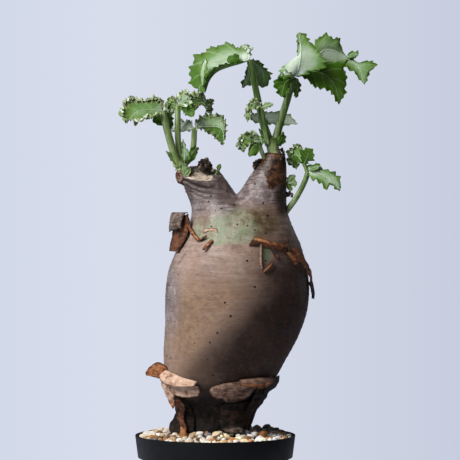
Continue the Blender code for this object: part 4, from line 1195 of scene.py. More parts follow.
        lift += sway * out * ends * min(reach.length / (8 * MM), 1.5)
        lift += 0.05 * reach.length / MM * math.sin(math.pi * out) * ends * (1 if across > 0 else -1)
        point = base + reach * out + reach.normalized() * cut * MM + normal * lift * MM
        return point, wave * frilly * reach_out

    @staticmethod
    def _saw(place: float) -> float:
        """A tooth that rises slowly and falls fast, from 0 to 1, once for every whole number."""
        part = place % 1.0
        return part / 0.72 if part < 0.72 else (1 - part) / 0.28


@dataclass
class Pot:
    """The moulded nursery pot."""

    height: float = 80.0
    rim_radius: float = 45.0
    band_height: float = 12.5
    band_taper: float = 1.6
    step: float = 2.2
    base_radius: float = 31.0
    wall: float = 1.2
    floor: float = 1.6
    rounding: float = 0.32
    drains: int = 6
    drain_circle: float = 25.0
    drain_radius: float = 2.6
    steps: int = 144

    def build(self) -> Object:
        """Turns the pot, rounds its corners and drills its drain holes."""
        band_foot = self.height - self.band_height
        band = self.rim_radius - self.band_taper
        body = band - self.step
        foot, wall = self.base_radius, self.wall
        inside = ((0.0, self.floor), (foot - wall, self.floor), (body - wall, band_foot - 1.0))
        inside += ((band - wall, band_foot + 1.2), (self.rim_radius - wall, self.height))
        outside = ((self.rim_radius, self.height), (band, band_foot), (body, band_foot))
        outside += ((foot + 0.1, 2.4), (foot, 0.9), (foot - 1.2, 0.0), (0.0, 0.0))
        obj = scratch(turned(inside + outside, self.steps, self.rounding))
        drills = []
        for index in range(self.drains):
            angle = 2 * math.pi * (index + 0.37) / self.drains
            x, y = math.cos(angle) * self.drain_circle, math.sin(angle) * self.drain_circle
            bm = bmesh.new()
            radius = self.drain_radius * MM
            bmesh.ops.create_cone(
                bm, cap_ends=True, segments=28, radius1=radius, radius2=radius, depth=6 * MM,
                matrix=Matrix.Translation(mm(x, y, self.floor / 2)),
            )
            drill = scratch(bm, "drill")
            drills.append(drill)
            hole = obj.modifiers.new("drain", "BOOLEAN")
            hole.operation, hole.object, hole.solver = "DIFFERENCE", drill, "EXACT"
        mesh = baked(obj)
        for drill in drills:
            bpy.data.objects.remove(drill)
        pot = finished("pot_moulded", mesh, [MouldedPlastic().material()], 32.0)
        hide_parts("pot")
        return pot


@dataclass
class Gravel:
    """The dressing of loose grains on a gritty bed.

    overlap is how near two grains of a layer may stand, as a share of their sizes, and low_share is
    the share of the tries that fills the lower layer. SIZES are the grains' sizes, LIFTS the heights
    of the layers over the bed and HEAP the grains heaped on top. PALE and DARK give each colour with
    the share of the draws up to which it is used.
    """

    inner: float = 17.8
    outer: float = 43.0
    bed_foot: float = 72.4
    bed_top: float = 76.4
    tries: int = 7000
    seed: int = 21
    overlap: float = 0.86
    low_share: float = 0.35

    SIZES = (1.5, 1.9, 2.2, 2.6, 3.1)
    LIFTS = (0.8, 2.9, 3.6)
    HEAP = ((23.9, 33.0, 3.4, 2), (29.6, 29.0, 3.1, 2), (34.6, 23.0, 3.0, 2), (18.5, 35.6, 2.6, 2))
    BED = (112, 88, 66)
    PALE = (
        (0.30, (232, 218, 196)), (0.48, (206, 186, 156)), (0.64, (240, 236, 228)), (0.76, (186, 152, 112)),
        (0.86, (164, 114, 70)), (0.93, (198, 186, 176)), (1.00, (120, 86, 60)),
    )
    DARK = ((0.5, (112, 115, 124)), (0.8, (138, 134, 132)), (1.0, (164, 142, 120)))

    def build(self) -> Object:
        """Lays the bed and the grains."""
        inner, outer, foot, top = self.inner, self.outer, self.bed_foot, self.bed_top
        bed = ((inner, foot), (outer, foot), (outer, top))
        bed += ((36.0, top + 0.6), (27.0, top + 0.9), (inner, top + 0.6))
        shell = Shell()
        tone = shell.bm.verts.layers.float_color.new("grain")
        shell.add(turned(bed, 72))
        for vert in shell.bm.verts:
            vert[tone] = rgba(self.BED)
        rng = random.Random(self.seed)
        for x, y, size, layer in self._spots(rng):
            first = len(shell.bm.verts)
            shell.add(self._grain(x, y, size, layer, rng))
            shell.bm.verts.ensure_lookup_table()
            colour = self._colour(x, y, rng)
            for vert in shell.bm.verts[first:]:
                vert[tone] = (*colour, 1.0)
        gravel = shell.piece("gravel_grains", GravelStone().material(), sharp=48.0)
        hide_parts("gravel_dressing")
        return gravel

    def _spots(self, rng: random.Random) -> list[tuple[float, float, float, int]]:
        """Places, sizes and layers of the grains, none too deep in its neighbours."""
        spots: list[tuple[float, float, float, int]] = []
        for attempt in range(self.tries):
            layer = 0 if attempt < self.tries * self.low_share else 1
            size = rng.choice(self.SIZES)
            reach = math.sqrt(rng.uniform((self.inner - 1.0 + size) ** 2, (self.outer + 0.3 - size) ** 2))
            angle = rng.uniform(0, 2 * math.pi)
            x, y = math.cos(angle) * reach, math.sin(angle) * reach
            same = (spot for spot in spots if spot[3] == layer)
            if not any(math.hypot(x - a, y - b) < self.overlap * (size + s) for a, b, s, _ in same):
                spots.append((x, y, size, layer))
        return [*spots, *self.HEAP]

    def _grain(self, x: float, y: float, size: float, layer: int, rng: random.Random) -> BMesh:
        """One angular grain.

        Args:
            x: how far right it lies, in millimetres.
            y: how far back it lies.
            size: its size.
            layer: the layer that it lies in.
            rng: gives its random draws.

        Returns:
            The closed body.
        """
        bm = bmesh.new()
        level = self.bed_top + self.LIFTS[layer] + rng.uniform(-0.5, 0.6) + 0.5 * smooth(0, 30, y)
        level -= 0.3 * smooth(37, 43, math.hypot(x, y)) * (layer < 2)
        level += 2.4 * smooth(34, 21, math.hypot(x, y)) * smooth(6, -6, y)
        draw = rng.uniform
        shape = Matrix.Diagonal((draw(0.9, 1.2), draw(0.75, 1.0), draw(0.55, 0.85), 1.0))
        turn = Matrix.Rotation(draw(0, 6.28), 4, "Z") @ Matrix.Rotation(draw(-0.5, 0.5), 4, "X")
        bmesh.ops.create_icosphere(bm, subdivisions=2, radius=size * MM)
        seed = rng.uniform(0, 90)
        for vert in bm.verts:
            facet = noise.cell_vector(vert.co.normalized() * 1.5 + Vector((seed, seed, seed))).x
            bump = noise.noise(vert.co / (size * MM) * 1.3 + Vector((seed, 0, 0)))
            vert.co *= 0.8 + 0.34 * facet + 0.3 * bump
        bmesh.ops.transform(bm, matrix=Matrix.Translation(mm(x, y, level)) @ turn @ shape, verts=bm.verts)
        return bm

    def _colour(self, x: float, y: float, rng: random.Random) -> Colour:
        """A grain's colour: the dark ones lie behind the plant on the right, and those at the right
        front are made paler, painted light where the plant's shadow falls.

        Args:
            x: how far right it lies, in millimetres.
            y: how far back it lies.
            rng: gives its random draws.

        Returns:
            The linear colour.
        """
        dark = rng.random() < (0.8 if x > 12 and y > 15 else 0.04)
        draw = rng.random()
        base = tint(*next(colour for share, colour in (self.DARK if dark else self.PALE) if draw <= share))
        # Grains at the right front are made paler: painted light over the plant's shadow.
        shade = rng.uniform(0.8, 1.08) * (1 + 0.8 * smooth(-8, 10, x) * smooth(16, 2, y))
        return tuple(min(c * shade, 0.9) for c in base)


@dataclass
class Caudex:
    """The swollen trunk with its root and two horns.

    ROOT holds heights and radii and TRUNK heights, left edges, right edges and half depths. A horn's
    rows hold X, height, half width, half depth, and the lean and the tilt in degrees. FOLDS tells of
    the folds below the old cut how far down each is, how high it stands and how wide it is. CUT is
    the old cut's height, its slopes along Y and X and the X that it reaches to.
    """

    sides: int = 16
    horn_sides: int = 12
    fork: tuple[float, float] = (11.4, 216.6)
    saddle_depth: float = 13.0
    saddle_drop: float = 4.5
    finer: int = 4

    ROOT = ((50, 8.5), (62, 12.5), (78, 17))
    ROOT_X = -0.5
    TRUNK = (
        (90, -17.2, 17.8, 17.5), (100, -22.4, 24.8, 23),
        (110, -27.4, 32.4, 29), (125, -28.8, 40.8, 34.5),
        (143, -28, 49.2, 38.5), (160, -27.8, 52.4, 39),
        (176, -25, 50.8, 36.5), (190, -17.8, 46.6, 31),
        (203, -13.4, 39.8, 23),
    )
    LEFT_HORN = (
        (-1.8, 213, 12.6, 14.5, -22, 0), (-5.6, 220, 11.6, 12.4, -22, 6),
        (-8.8, 226, 11, 11.2, -12, 16), (-10, 229.4, 10, 10, -6, 20),
    )
    RIGHT_HORN = (
        (26.2, 214, 13.6, 14, 4, 0), (29.2, 222.5, 10.9, 11, 8, 0),
        (32, 230.5, 8, 8.4, 8, 0), (33.8, 238.6, 5.9, 6, 4, 0),
    )
    CUT = (227.4, 0.4, -0.06, 8.0)
    CUT_NORMAL = (-0.1, -0.36, 0.93)
    FOLDS = (
        (0.9, 0.35, 0.5), (2.5, -0.8, 0.35), (3.9, 0.4, 0.6),
        (5.2, -0.4, 0.2), (7.4, -0.3, 0.15), (9.8, -0.2, 0.1),
    )

    @staticmethod
    def _through(values: Sequence[float]) -> list[float]:
        """Cage values whose smooth surface passes through the given ones."""
        cage = list(values)
        for _ in range(30):
            for i in range(1, len(values) - 1):
                cage[i] = (6 * values[i] - cage[i - 1] - cage[i + 1]) / 4
        return cage

    @staticmethod
    def _grow(sides: int) -> float:
        """How much wider a cage ring is than the round that it makes."""
        return 6 / (4 + 2 * math.cos(2 * math.pi / sides))

    def _trunk_point(self, station: Sequence[float], angle: float) -> Vector:
        """A corner of the trunk's cage."""
        height, left, right, depth = station
        grow, centre, half = self._grow(self.sides), (station[1] + station[2]) / 2, (right - left) / 2
        return mm(centre + half * grow * math.cos(angle), depth * grow * math.sin(angle), height)

    def _horn_point(self, station: Sequence[float], side: int, angle: float) -> Vector:
        """A corner of a horn's cage.

        Args:
            station: a row of the horn.
            side: 1 for the right horn and -1 for the left.
            angle: the way round the row, in radians.

        Returns:
            The corner, in metres.
        """
        x, z, half, depth, lean, tilt = station
        grow, slope = self._grow(self.horn_sides), math.radians(lean)
        out = half * grow * math.cos(angle) * side
        back = depth * grow * math.sin(angle)
        height = z - out * math.sin(slope) + back * math.tan(math.radians(tilt))
        return mm(x + out * math.cos(slope), back, height)

    def cage(self) -> BMesh:
        """The coarse cage: rings up the trunk, a saddle, and a stack of rings for each horn."""
        stations = [(z, self.ROOT_X - r, self.ROOT_X + r, r) for z, r in self.ROOT] + list(self.TRUNK)
        stations = list(zip(*[self._through(column) for column in zip(*stations)]))
        angles = [2 * math.pi * i / self.sides for i in range(self.sides)]

        def nearest(points: Sequence[Vector], co: Vector) -> int:
            """The index of the point nearest to a place."""
            return min(range(len(points)), key=lambda i: (points[i] - co).length_squared)

        bm = bmesh.new()
        bmesh.ops.create_circle(bm, cap_ends=True, segments=self.sides, radius=1.0)
        bm.faces.ensure_lookup_table()
        end = bm.faces[0]
        for vert in end.verts:
            vert.co = self._trunk_point(stations[0], math.atan2(vert.co.y, vert.co.x))
        for low, high in zip(stations, stations[1:]):
            corners = [self._trunk_point(low, a) for a in angles]
            end = extrude_ring(bm, end, lambda co: self._trunk_point(high, angles[nearest(corners, co)]))

        ring = [self._trunk_point(stations[-1], a) for a in angles]
        front, back = 3 * self.sides // 4, self.sides // 4
        ends = [min(end.verts, key=lambda v: (v.co - ring[i]).length) for i in (front, back)]
        _, crease = bmesh.utils.face_split(end, *ends)
        halves = sorted(crease.edge.link_faces, key=lambda f: f.calc_center_median().x)
        cuts = bmesh.ops.subdivide_edges(bm, edges=[crease.edge], cuts=3)["geom_inner"]
        saddle = []
        for vert in sorted(cuts, key=lambda v: v.co.y):
            y = self.saddle_depth * (len(saddle) - 1)
            vert.co = mm(self.fork[0], y, self.fork[1] - (self.saddle_drop if y else 0.0))
            saddle.append(vert.co.copy())
        for side, horn, face in ((-1, self.LEFT_HORN, halves[0]), (1, self.RIGHT_HORN, halves[1])):
            loop = [ring[(front + side * k) % self.sides] for k in range(self.sides // 2 + 1)]
            loop += saddle[::-1]
            turns = [math.radians(-120 + 30 * k) for k in range(self.horn_sides)]
            x, z, half, depth, lean, tilt = horn[-1]
            for station in (*horn, (x, z - 0.6, half * 0.62, depth * 0.62, lean, tilt)):
                corners, loop = loop, [self._horn_point(station, side, t) for t in turns]
                face = extrude_ring(bm, face, lambda co: loop[nearest(corners, co)].copy())
        bmesh.ops.holes_fill(bm, edges=[e for e in bm.edges if e.is_boundary])
        bmesh.ops.recalc_face_normals(bm, faces=bm.faces)
        return bm

    def build(self) -> tuple[Object, BVHTree]:
        """Smooths the cage, cuts the old scar, works the bark's relief into it and paints its zones.

        Returns:
            The caudex and its surface, for what sits on it.
        """
        obj = scratch(self.cage())
        smoother = obj.modifiers.new("swell", "SUBSURF")
        smoother.levels = smoother.render_levels = self.finer
        bm = opened(baked(obj))
        bm.normal_update()
        zones = bm.verts.layers.float_color.new("zones")
        marks = bm.verts.layers.float_color.new("marks")
        places = [(v, v.co / MM, v.normal.copy()) for v in bm.verts]
        for vert, p, normal in places:
            over_cut = p.z - self._cut(p)
            near_cut = p.x < self.CUT[3]
            scar = smooth(-0.9, 0.1, over_cut) if near_cut and p.z > 218 else 0.0
            if near_cut and p.z > 222:
                scar = max(scar, smooth(0.4, 0.75, normal.z))
            wood = scar * smooth(0.5, -3.5, p.x + 1.2 * wobble(vert.co, 3, 41))
            vert[zones], vert[marks] = self._zones(vert.co, p), self._marks(vert.co, p, wood)
            height = self._relief(vert.co.copy(), p, scar)
            if scar and over_cut > 0:
                vert.co.z -= over_cut * MM
                normal = Vector(self.CUT_NORMAL)
            vert.co += normal * height * MM
        surface = BVHTree.FromBMesh(bm)
        caudex = finished("caudex_bark", meshed(bm), [CaudexSkin().material()], 60.0)
        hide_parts("caudex")
        return caudex, surface

    @staticmethod
    def _cut(p: Vector) -> float:
        """The height of the old cut's slanting plane over a point of the left horn."""
        level, back, right, _ = Caudex.CUT
        return level + back * p.y + right * (p.x + 10)

    @staticmethod
    def _warp(co: Vector) -> float:
        """How far the folds stray from their level at a point, in millimetres."""
        return 1.4 * wobble(co, 9, 4) + 0.6 * wobble(co, 3.5, 5)

    @staticmethod
    def _horn_share(p: Vector) -> tuple[float, float]:
        """How far a point is up the left and the right horn, from 0 to 1."""
        left = smooth(202, 216, p.z - 0.2 * (p.x + 2)) * smooth(13, 9, p.x)
        right = smooth(200, 215, p.z) * smooth(9, 13, p.x)
        return left, right

    def _relief(self, co: Vector, p: Vector, scar: float) -> float:
        """How high the bark stands out at a point.

        Args:
            co: the point, in metres.
            p: the same, in millimetres.
            scar: how far it lies in the old scar.

        Returns:
            The height, in millimetres.
        """
        left, right = self._horn_share(p)
        height = (0.45 * wobble(co, 24, 1) + 0.2 * wobble(co, 7, 2)) * smooth(60, 84, p.z)
        slope = math.radians(-20)
        rise = (p.z - 229) * math.cos(slope) - (p.x + 10) * math.sin(slope) + 0.3 * p.y
        warp = self._warp(co)
        near_top = smooth(-16, -4, rise)
        folds = ripple(rise, 1.9, 2.4 * warp)
        height += (0.08 + 0.2 * near_top) * left * (1 - scar) * (1 - abs(folds) ** 0.6 * 1.6)
        height += left * (1 - scar) * self._folds(co, p)
        ridge = (p.z - 222) * 0.98 + (p.x - 29) * -0.14
        height += 0.12 * right * (1 - abs(ripple(ridge, 3.6, 2.2 * warp)) ** 0.6 * 1.6)
        body = (1 - left) * (1 - right) * smooth(110, 120, p.z)
        height += 0.07 * body * ripple(p.z, 3.1, 3 * wobble(co, 14, 6))
        crease = ripple(p.z, 5.3, 2.2 * wobble(co, 19, 7) + 1.2 * wobble(co, 6, 17))
        height -= 0.16 * body * max(0.0, crease - 0.9) * 10 * smooth(155, 175, p.z)
        skin = smooth(188.4, 186.6, p.z + 1.6 * wobble(co, 6, 8) - 0.06 * abs(p.x - 9))
        height += 0.26 * skin * smooth(100, 110, p.z)
        window = self._window(p)
        height -= 0.4 * window
        foot = (1 - smooth(104, 110, p.z + 1.5 * wobble(co, 8, 9))) * smooth(74, 84, p.z)
        rough = 0.5 * wobble(co, 3.2, 12) + 0.6 * wobble(Vector((co.x, co.y, co.z * 0.22)), 2.4, 13)
        height += foot * (1.1 * rough - 0.9)
        splinter = 0.35 * wobble(Vector((co.x, co.y * 0.4, co.z)), 3.5, 16)
        height += scar * (0.3 * wobble(co, 2.0, 15) + splinter)
        return height

    @staticmethod
    def _folds(co: Vector, p: Vector) -> float:
        """The deep folds of bark round the top of the left horn, in millimetres outwards."""
        drop = (Caudex._cut(p) - p.z) * 0.9 + 0.6 * Caudex._warp(co)
        deep = sum(high * math.exp(-((drop - down) ** 2) / width) for down, high, width in Caudex.FOLDS)
        return deep * smooth(3.0, -6.0, p.x)

    @staticmethod
    def _window(p: Vector) -> float:
        """How much a point lies in the small green window between the curls on the right."""
        if p.y > 0:
            return 0.0
        return smooth(0.0, 0.3, 1 - math.hypot((p.x - 28.0 - 0.1 * (p.z - 182)) / 4.0, (p.z - 181.6) / 5.6))

    def _zones(self, co: Vector, p: Vector) -> Traits:
        """The green window, the horns' grey with the painted sheen of the left edge, the dark foot with
        its painted shade and the ochre stain at a point.

        Args:
            co: the point, in metres.
            p: the same, in millimetres.

        Returns:
            How far it lies in each, from 0 to 1.
        """

        def stain(x: float, z: float, wide: float, tall: float) -> float:
            """How much a point lies in the soft stain about a place."""
            return math.exp(-(((p.x - x) / wide) ** 2 + ((p.z - z) / tall) ** 2))

        x = p.x + 2.2 * wobble(co, 9, 24) + wobble(co, 3.5, 25)
        z = p.z + 2.2 * wobble(co, 9, 26) + wobble(co, 3.5, 27)
        rim = 1 - math.hypot((x - 8.5) / 17.5, (z - 196.0) / 15.5)
        side = 1 - math.hypot((x + 4) / 9, (z - 195) / 9)
        green = max(smooth(-0.05, 0.5, rim), 0.7 * smooth(-0.1, 0.4, side)) * (1 if p.y < 14 else 0.5)
        green *= smooth(185.8, 187.6, p.z + 1.6 * wobble(co, 6, 8))
        green = max(green, self._window(p))
        west = smooth(18, 4, p.x)
        grey = west * smooth(195, 209, z) + (1 - west) * smooth(203, 214, p.z)
        # Painted sheen: the trunk's left edge is greyed and darkened the way the grazing light shows it.
        painted_left_sheen = 0.8 * smooth(-15, -27, p.x) * smooth(125, 150, p.z)
        # The dark foot reaches higher at the front: painted shade on the band above the plates.
        foot_shade_top = 108 + 9 * smooth(-14, -4, p.x) * smooth(34, 20, p.x)
        foot = 1 - smooth(94, foot_shade_top, p.z + 3.0 * wobble(co, 9, 22))
        ochre = 0.5 * smooth(196, 140, p.z) + 0.4 * stain(-14, 138, 14, 24) * (1 if p.y < 10 else 0.5)
        ochre += 0.5 * stain(2, 160, 18, 10) if p.y < 0 else 0.55 * stain(6, 132, 26, 22)
        return green, max(grey, painted_left_sheen), foot, min(ochre, 1.0)

    @staticmethod
    def _marks(co: Vector, p: Vector, scar: float) -> Traits:
        """The scar wood, the papery sleeve, the olive shoulder and the painted shade at a point.

        Args:
            co: the point, in metres.
            p: the same, in millimetres.
            scar: how far it lies in the old scar.

        Returns:
            How far it lies in each, from 0 to 1.
        """
        ragged = 1.4 * wobble(co, 6, 31) + 0.8 * wobble(co, 2.5, 32)
        sleeve = smooth(-1.0, 1.0, p.x - 23.0 - 0.3 * (240 - p.z) + ragged)
        sleeve *= smooth(216, 221, p.z + 3 * ragged)
        sleeve = max(sleeve, smooth(234, 237, p.z + ragged)) * (1 if p.x > 14 else 0)
        olive = 0.9 * smooth(0.0, 0.7, 1 - math.hypot((p.x - 24) / 18, (p.z - 199) / 15))
        olive *= smooth(186, 189, p.z)
        # Painted shade on the trunk's right side, turned from the light, and on the far side of the right
        # horn.
        painted_shade = 0.9 * smooth(0, 38, p.x - 0.1 * (p.z - 150)) * smooth(212, 188, p.z)
        painted_shade *= 1 - 0.3 * smooth(170, 182, p.z)
        painted_shade = max(painted_shade, 0.9 * smooth(31, 37, p.x) * smooth(198, 206, p.z))
        # Painted shade on the low front of the trunk, above the plates.
        low = smooth(-10, 8, p.x + 14.2 - 0.71 * (p.z - 119)) * smooth(168, 122, p.z)
        # Painted shade over the top of the left horn and in the hollows of its folds.
        crease = 0.0
        if p.x < 11.4 and p.z > 206:
            crease = 0.5 * smooth(203, 221, p.z) + max(0.0, -1.3 * Caudex._folds(co, p))
            crease *= smooth(11.4, 7.0, p.x) * (1 - scar)
        return scar, sleeve, olive, min(painted_shade + 0.85 * low + crease, 1.0)


@dataclass
class Flake:
    """A flake of dead bark that has come away from the caudex.

    rows run from its hold to its free edge, and each is a line of (angle, height, lift) points
    across the flake. ragged is how far its edges are torn and curl how far it is warped, in
    millimetres, rim is the share at its free edge that shows orange inner bark, and grey the share
    that has weathered. node is the CAD node that it stands for, where that isn't its own name. CELL is
    the size of its faces, CLEAR the least gap under it and LEAST_LIFT its least lift, in millimetres,
    and OUTSIDE is how far out its rays start, in metres.
    """

    name: str
    rows: tuple[Line, ...]
    outside: BarkTone
    inside: BarkTone
    ragged: float = 0.8
    curl: float = 0.6
    thickness: float = 0.5
    rim: float = 0.0
    grey: float = 0.0
    node: str = ""

    CELL = 0.55
    CLEAR = 0.2
    LEAST_LIFT = 0.25
    OUTSIDE = 0.2

    @staticmethod
    def centre(height: float) -> float:
        """The X of the trunk's middle at a height."""
        trunk = Caudex.TRUNK
        for low, high in zip(trunk, trunk[1:]):
            if height <= high[0]:
                share = max(0.0, (height - low[0]) / (high[0] - low[0]))
                return ((low[1] + low[2]) * (1 - share) + (high[1] + high[2]) * share) / 2
        return (trunk[-1][1] + trunk[-1][2]) / 2

    def _point(self, surface: BVHTree, angle: float, height: float, lift: float) -> Vector:
        """A point lifted off the bark, found along a level ray to the trunk's axis.

        Args:
            surface: the caudex.
            angle: the way round the trunk, in degrees.
            height: its height, in millimetres.
            lift: how far off the bark it is, in millimetres.

        Returns:
            The point, in metres.
        """
        outward = Vector((math.cos(math.radians(angle)), math.sin(math.radians(angle)), 0.0))
        start = mm(self.centre(height), 0.0, height)
        point = surface.ray_cast(start + outward * self.OUTSIDE, -outward)[0] + outward * lift * MM
        near, normal, _, _ = surface.find_nearest(point)
        clear = (point - near).dot(normal)
        return point + normal * max(self.CLEAR * MM - clear, 0.0)

    def _size(self) -> tuple[float, float]:
        """The flake's width and height in millimetres, roughly."""

        def place(point: Point) -> Vector:
            """Where a control point lies, on a round trunk of 30 mm radius."""
            angle, height, lift = math.radians(point[0]), point[1], 30 + point[2]
            return Vector((lift * math.cos(angle), lift * math.sin(angle), height))

        def run(line: Sequence[Point]) -> float:
            """The length of a line of control points."""
            return sum((place(a) - place(b)).length for a, b in zip(line, line[1:]))

        sides = [[row[k] for row in self.rows] for k in (0, -1)]
        return max(run(row) for row in self.rows), max(run(side) for side in sides)

    def build(self, surface: BVHTree, seed: float) -> Object:
        """Models the flake on the caudex's surface.

        Args:
            surface: the caudex.
            seed: shifts its noise.

        Returns:
            The flake, which replaces its node.
        """
        width, height = self._size()
        across, down = (max(5, min(70, round(size / self.CELL))) for size in (width, height))
        lines = [[Vector(point) for point in row] for row in self.rows]
        bm = bmesh.new()
        bmesh.ops.create_grid(bm, x_segments=across, y_segments=down, size=1.0)
        traits = bm.verts.layers.float_color.new("traits")
        for vert in bm.verts:
            u, v = (vert.co.x + 1) / 2, (vert.co.y + 1) / 2
            where = Vector((u * width, v * height, seed * 7)) * MM
            tear = wobble(where, 2.8, seed) + 0.7 * wobble(where, 1.2, seed + 3)
            fray = wobble(where, 2.4, seed + 5) + 0.7 * wobble(where, 1.1, seed + 8)
            side = smooth(0.7, 1.0, abs(2 * u - 1))
            free = smooth(0.55, 1.0, v)
            spot = spline(
                [spline(line, u + self.ragged * 0.9 * fray * side / width) for line in lines],
                v + self.ragged * tear * (free + 0.3 * smooth(0.3, 0.0, v)) / height,
            )
            warp = wobble(where, 5.0, seed + 11) * v
            warp += 0.6 * (0.4 + wobble(where, 3.0, seed + 13)) * max(side, free) * v
            inner = smooth(1 - self.rim, 1.0, v) if self.rim else 0.0
            weathered = smooth(1 - 1.6 * self.grey, 1 - 0.6 * self.grey, v) if self.grey else 0.0
            # Nearness to the edge, for the painted shade along the flake's edges.
            margin = min(min(u, 1 - u) * width, (1 - v) * height)
            vert[traits] = (inner, weathered, 1 - smooth(0.35, 1.1, margin), 0.0)
            lift = max(spot.z + self.curl * warp, self.LEAST_LIFT)
            vert.co = self._point(surface, spot.x, spot.y, lift)
        bmesh.ops.smooth_vert(
            bm, verts=bm.verts, factor=0.35, use_axis_x=True, use_axis_y=True, use_axis_z=True
        )
        bm.normal_update()
        if sum(f.normal.dot(f.calc_center_median() * Vector((1, 1, 0))) for f in bm.faces) < 0:
            bmesh.ops.reverse_faces(bm, faces=bm.faces)
        mesh = thickened(bm, self.thickness, 1.0, 2)
        finishes = self.outside.material(), self.inside.material()
        flake = finished(f"{self.name}_peel", mesh, finishes, 50.0)
        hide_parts(self.node or self.name)
        return flake


class Deadwood:
    """Dry wood on the horns: the scaly nub under the left shoot and the crumbling stubs of old shoots."""

    NUB = ((-17.6, -1.0, 225.6), (5.4, 5.2, 5.2))
    STUBS = (
        ("left", (-5.9, -2.6, 230.4), (3.7, 3.2, 4.3), 17),
        ("right", (24.2, -2.2, 231.0), (3.0, 2.6, 3.5), 14),
        ("side", (41.0, -2.0, 214.6), (2.7, 2.0, 2.0), 9),
        ("neck", (-15.5, -1.5, 216.4), (1.3, 1.3, 1.2), 6),
        ("collar", (36.9, -3.2, 236.2), (2.0, 2.8, 5.0), 18),
    )

    def build(self) -> list[Object]:
        """Models the nub and the stubs."""
        pieces = [self._nub()]
        pieces += [self._stub(*stub, seed) for seed, stub in enumerate(self.STUBS)]
        return pieces

    def _nub(self) -> Object:
        """A knob of reddish scales."""
        centre, radii = self.NUB

        def scales(co: Vector) -> float:
            """How far a point is moved outwards, in millimetres."""
            first, second, *_ = noise.voronoi(co / (3.4 * MM))[0]
            return 1.3 * min(second - first, 0.5) - 0.5 + 1.1 * wobble(co, 4.0, 4)

        shell = Shell()
        place = Matrix.Translation(mm(*centre)) @ Matrix.Diagonal((*radii, 1.0))
        shell.add(lump(1.0, 5, place, scales))
        shell.mark((0.3, 0.4, 0.0, 0.0))
        obj = shell.piece("deadwood_nub", BarkTone.RUST.material(), sharp=60.0)
        return obj

    def _stub(self, name: str, centre: Point, radii: Point, count: int, seed: int) -> Object:
        """A crumbling stub: shrivelled crumbs heaped on a core.

        Args:
            name: where it is.
            centre: its middle, in millimetres.
            radii: its half sizes.
            count: how many crumbs it has.
            seed: sets its random draws.

        Returns:
            The stub.
        """
        draw = random.Random(seed + 5).uniform
        shell = Shell()
        golden = math.pi * (3 - math.sqrt(5))

        def shrivel(co: Vector) -> float:
            """How far a point is moved outwards, in millimetres."""
            return 0.34 * wobble(co, 1.2, seed) + 0.16 * wobble(co, 0.5, seed)

        for index in range(count + 1):
            rise = 0.96 - 1.6 * index / count
            ring = math.sqrt(max(0.0, 1 - min(rise * rise, 1.0)))
            spot = Vector((ring * math.cos(index * golden), ring * math.sin(index * golden), rise))
            core = index == count
            size = min(radii) * 0.66 if core else draw(0.34, 0.52) * min(radii)
            place = Vector(centre)
            if not core:
                place += Vector([s * r * 0.85 for s, r in zip(spot, radii)])
            stretch = Matrix.Diagonal((draw(0.75, 1.1), draw(0.75, 1.1), draw(0.8, 1.25), 1.0))
            turn = spot.to_track_quat("Z", "Y").to_matrix().to_4x4()
            shell.add(lump(size, 3, Matrix.Translation(place * MM) @ turn @ stretch, shrivel))
        shell.mark((0.0, 0.38, 0.0, 0.0))
        obj = shell.piece(f"deadwood_stub_{name}", BarkTone.UMBER.material(), sharp=60.0)
        return obj


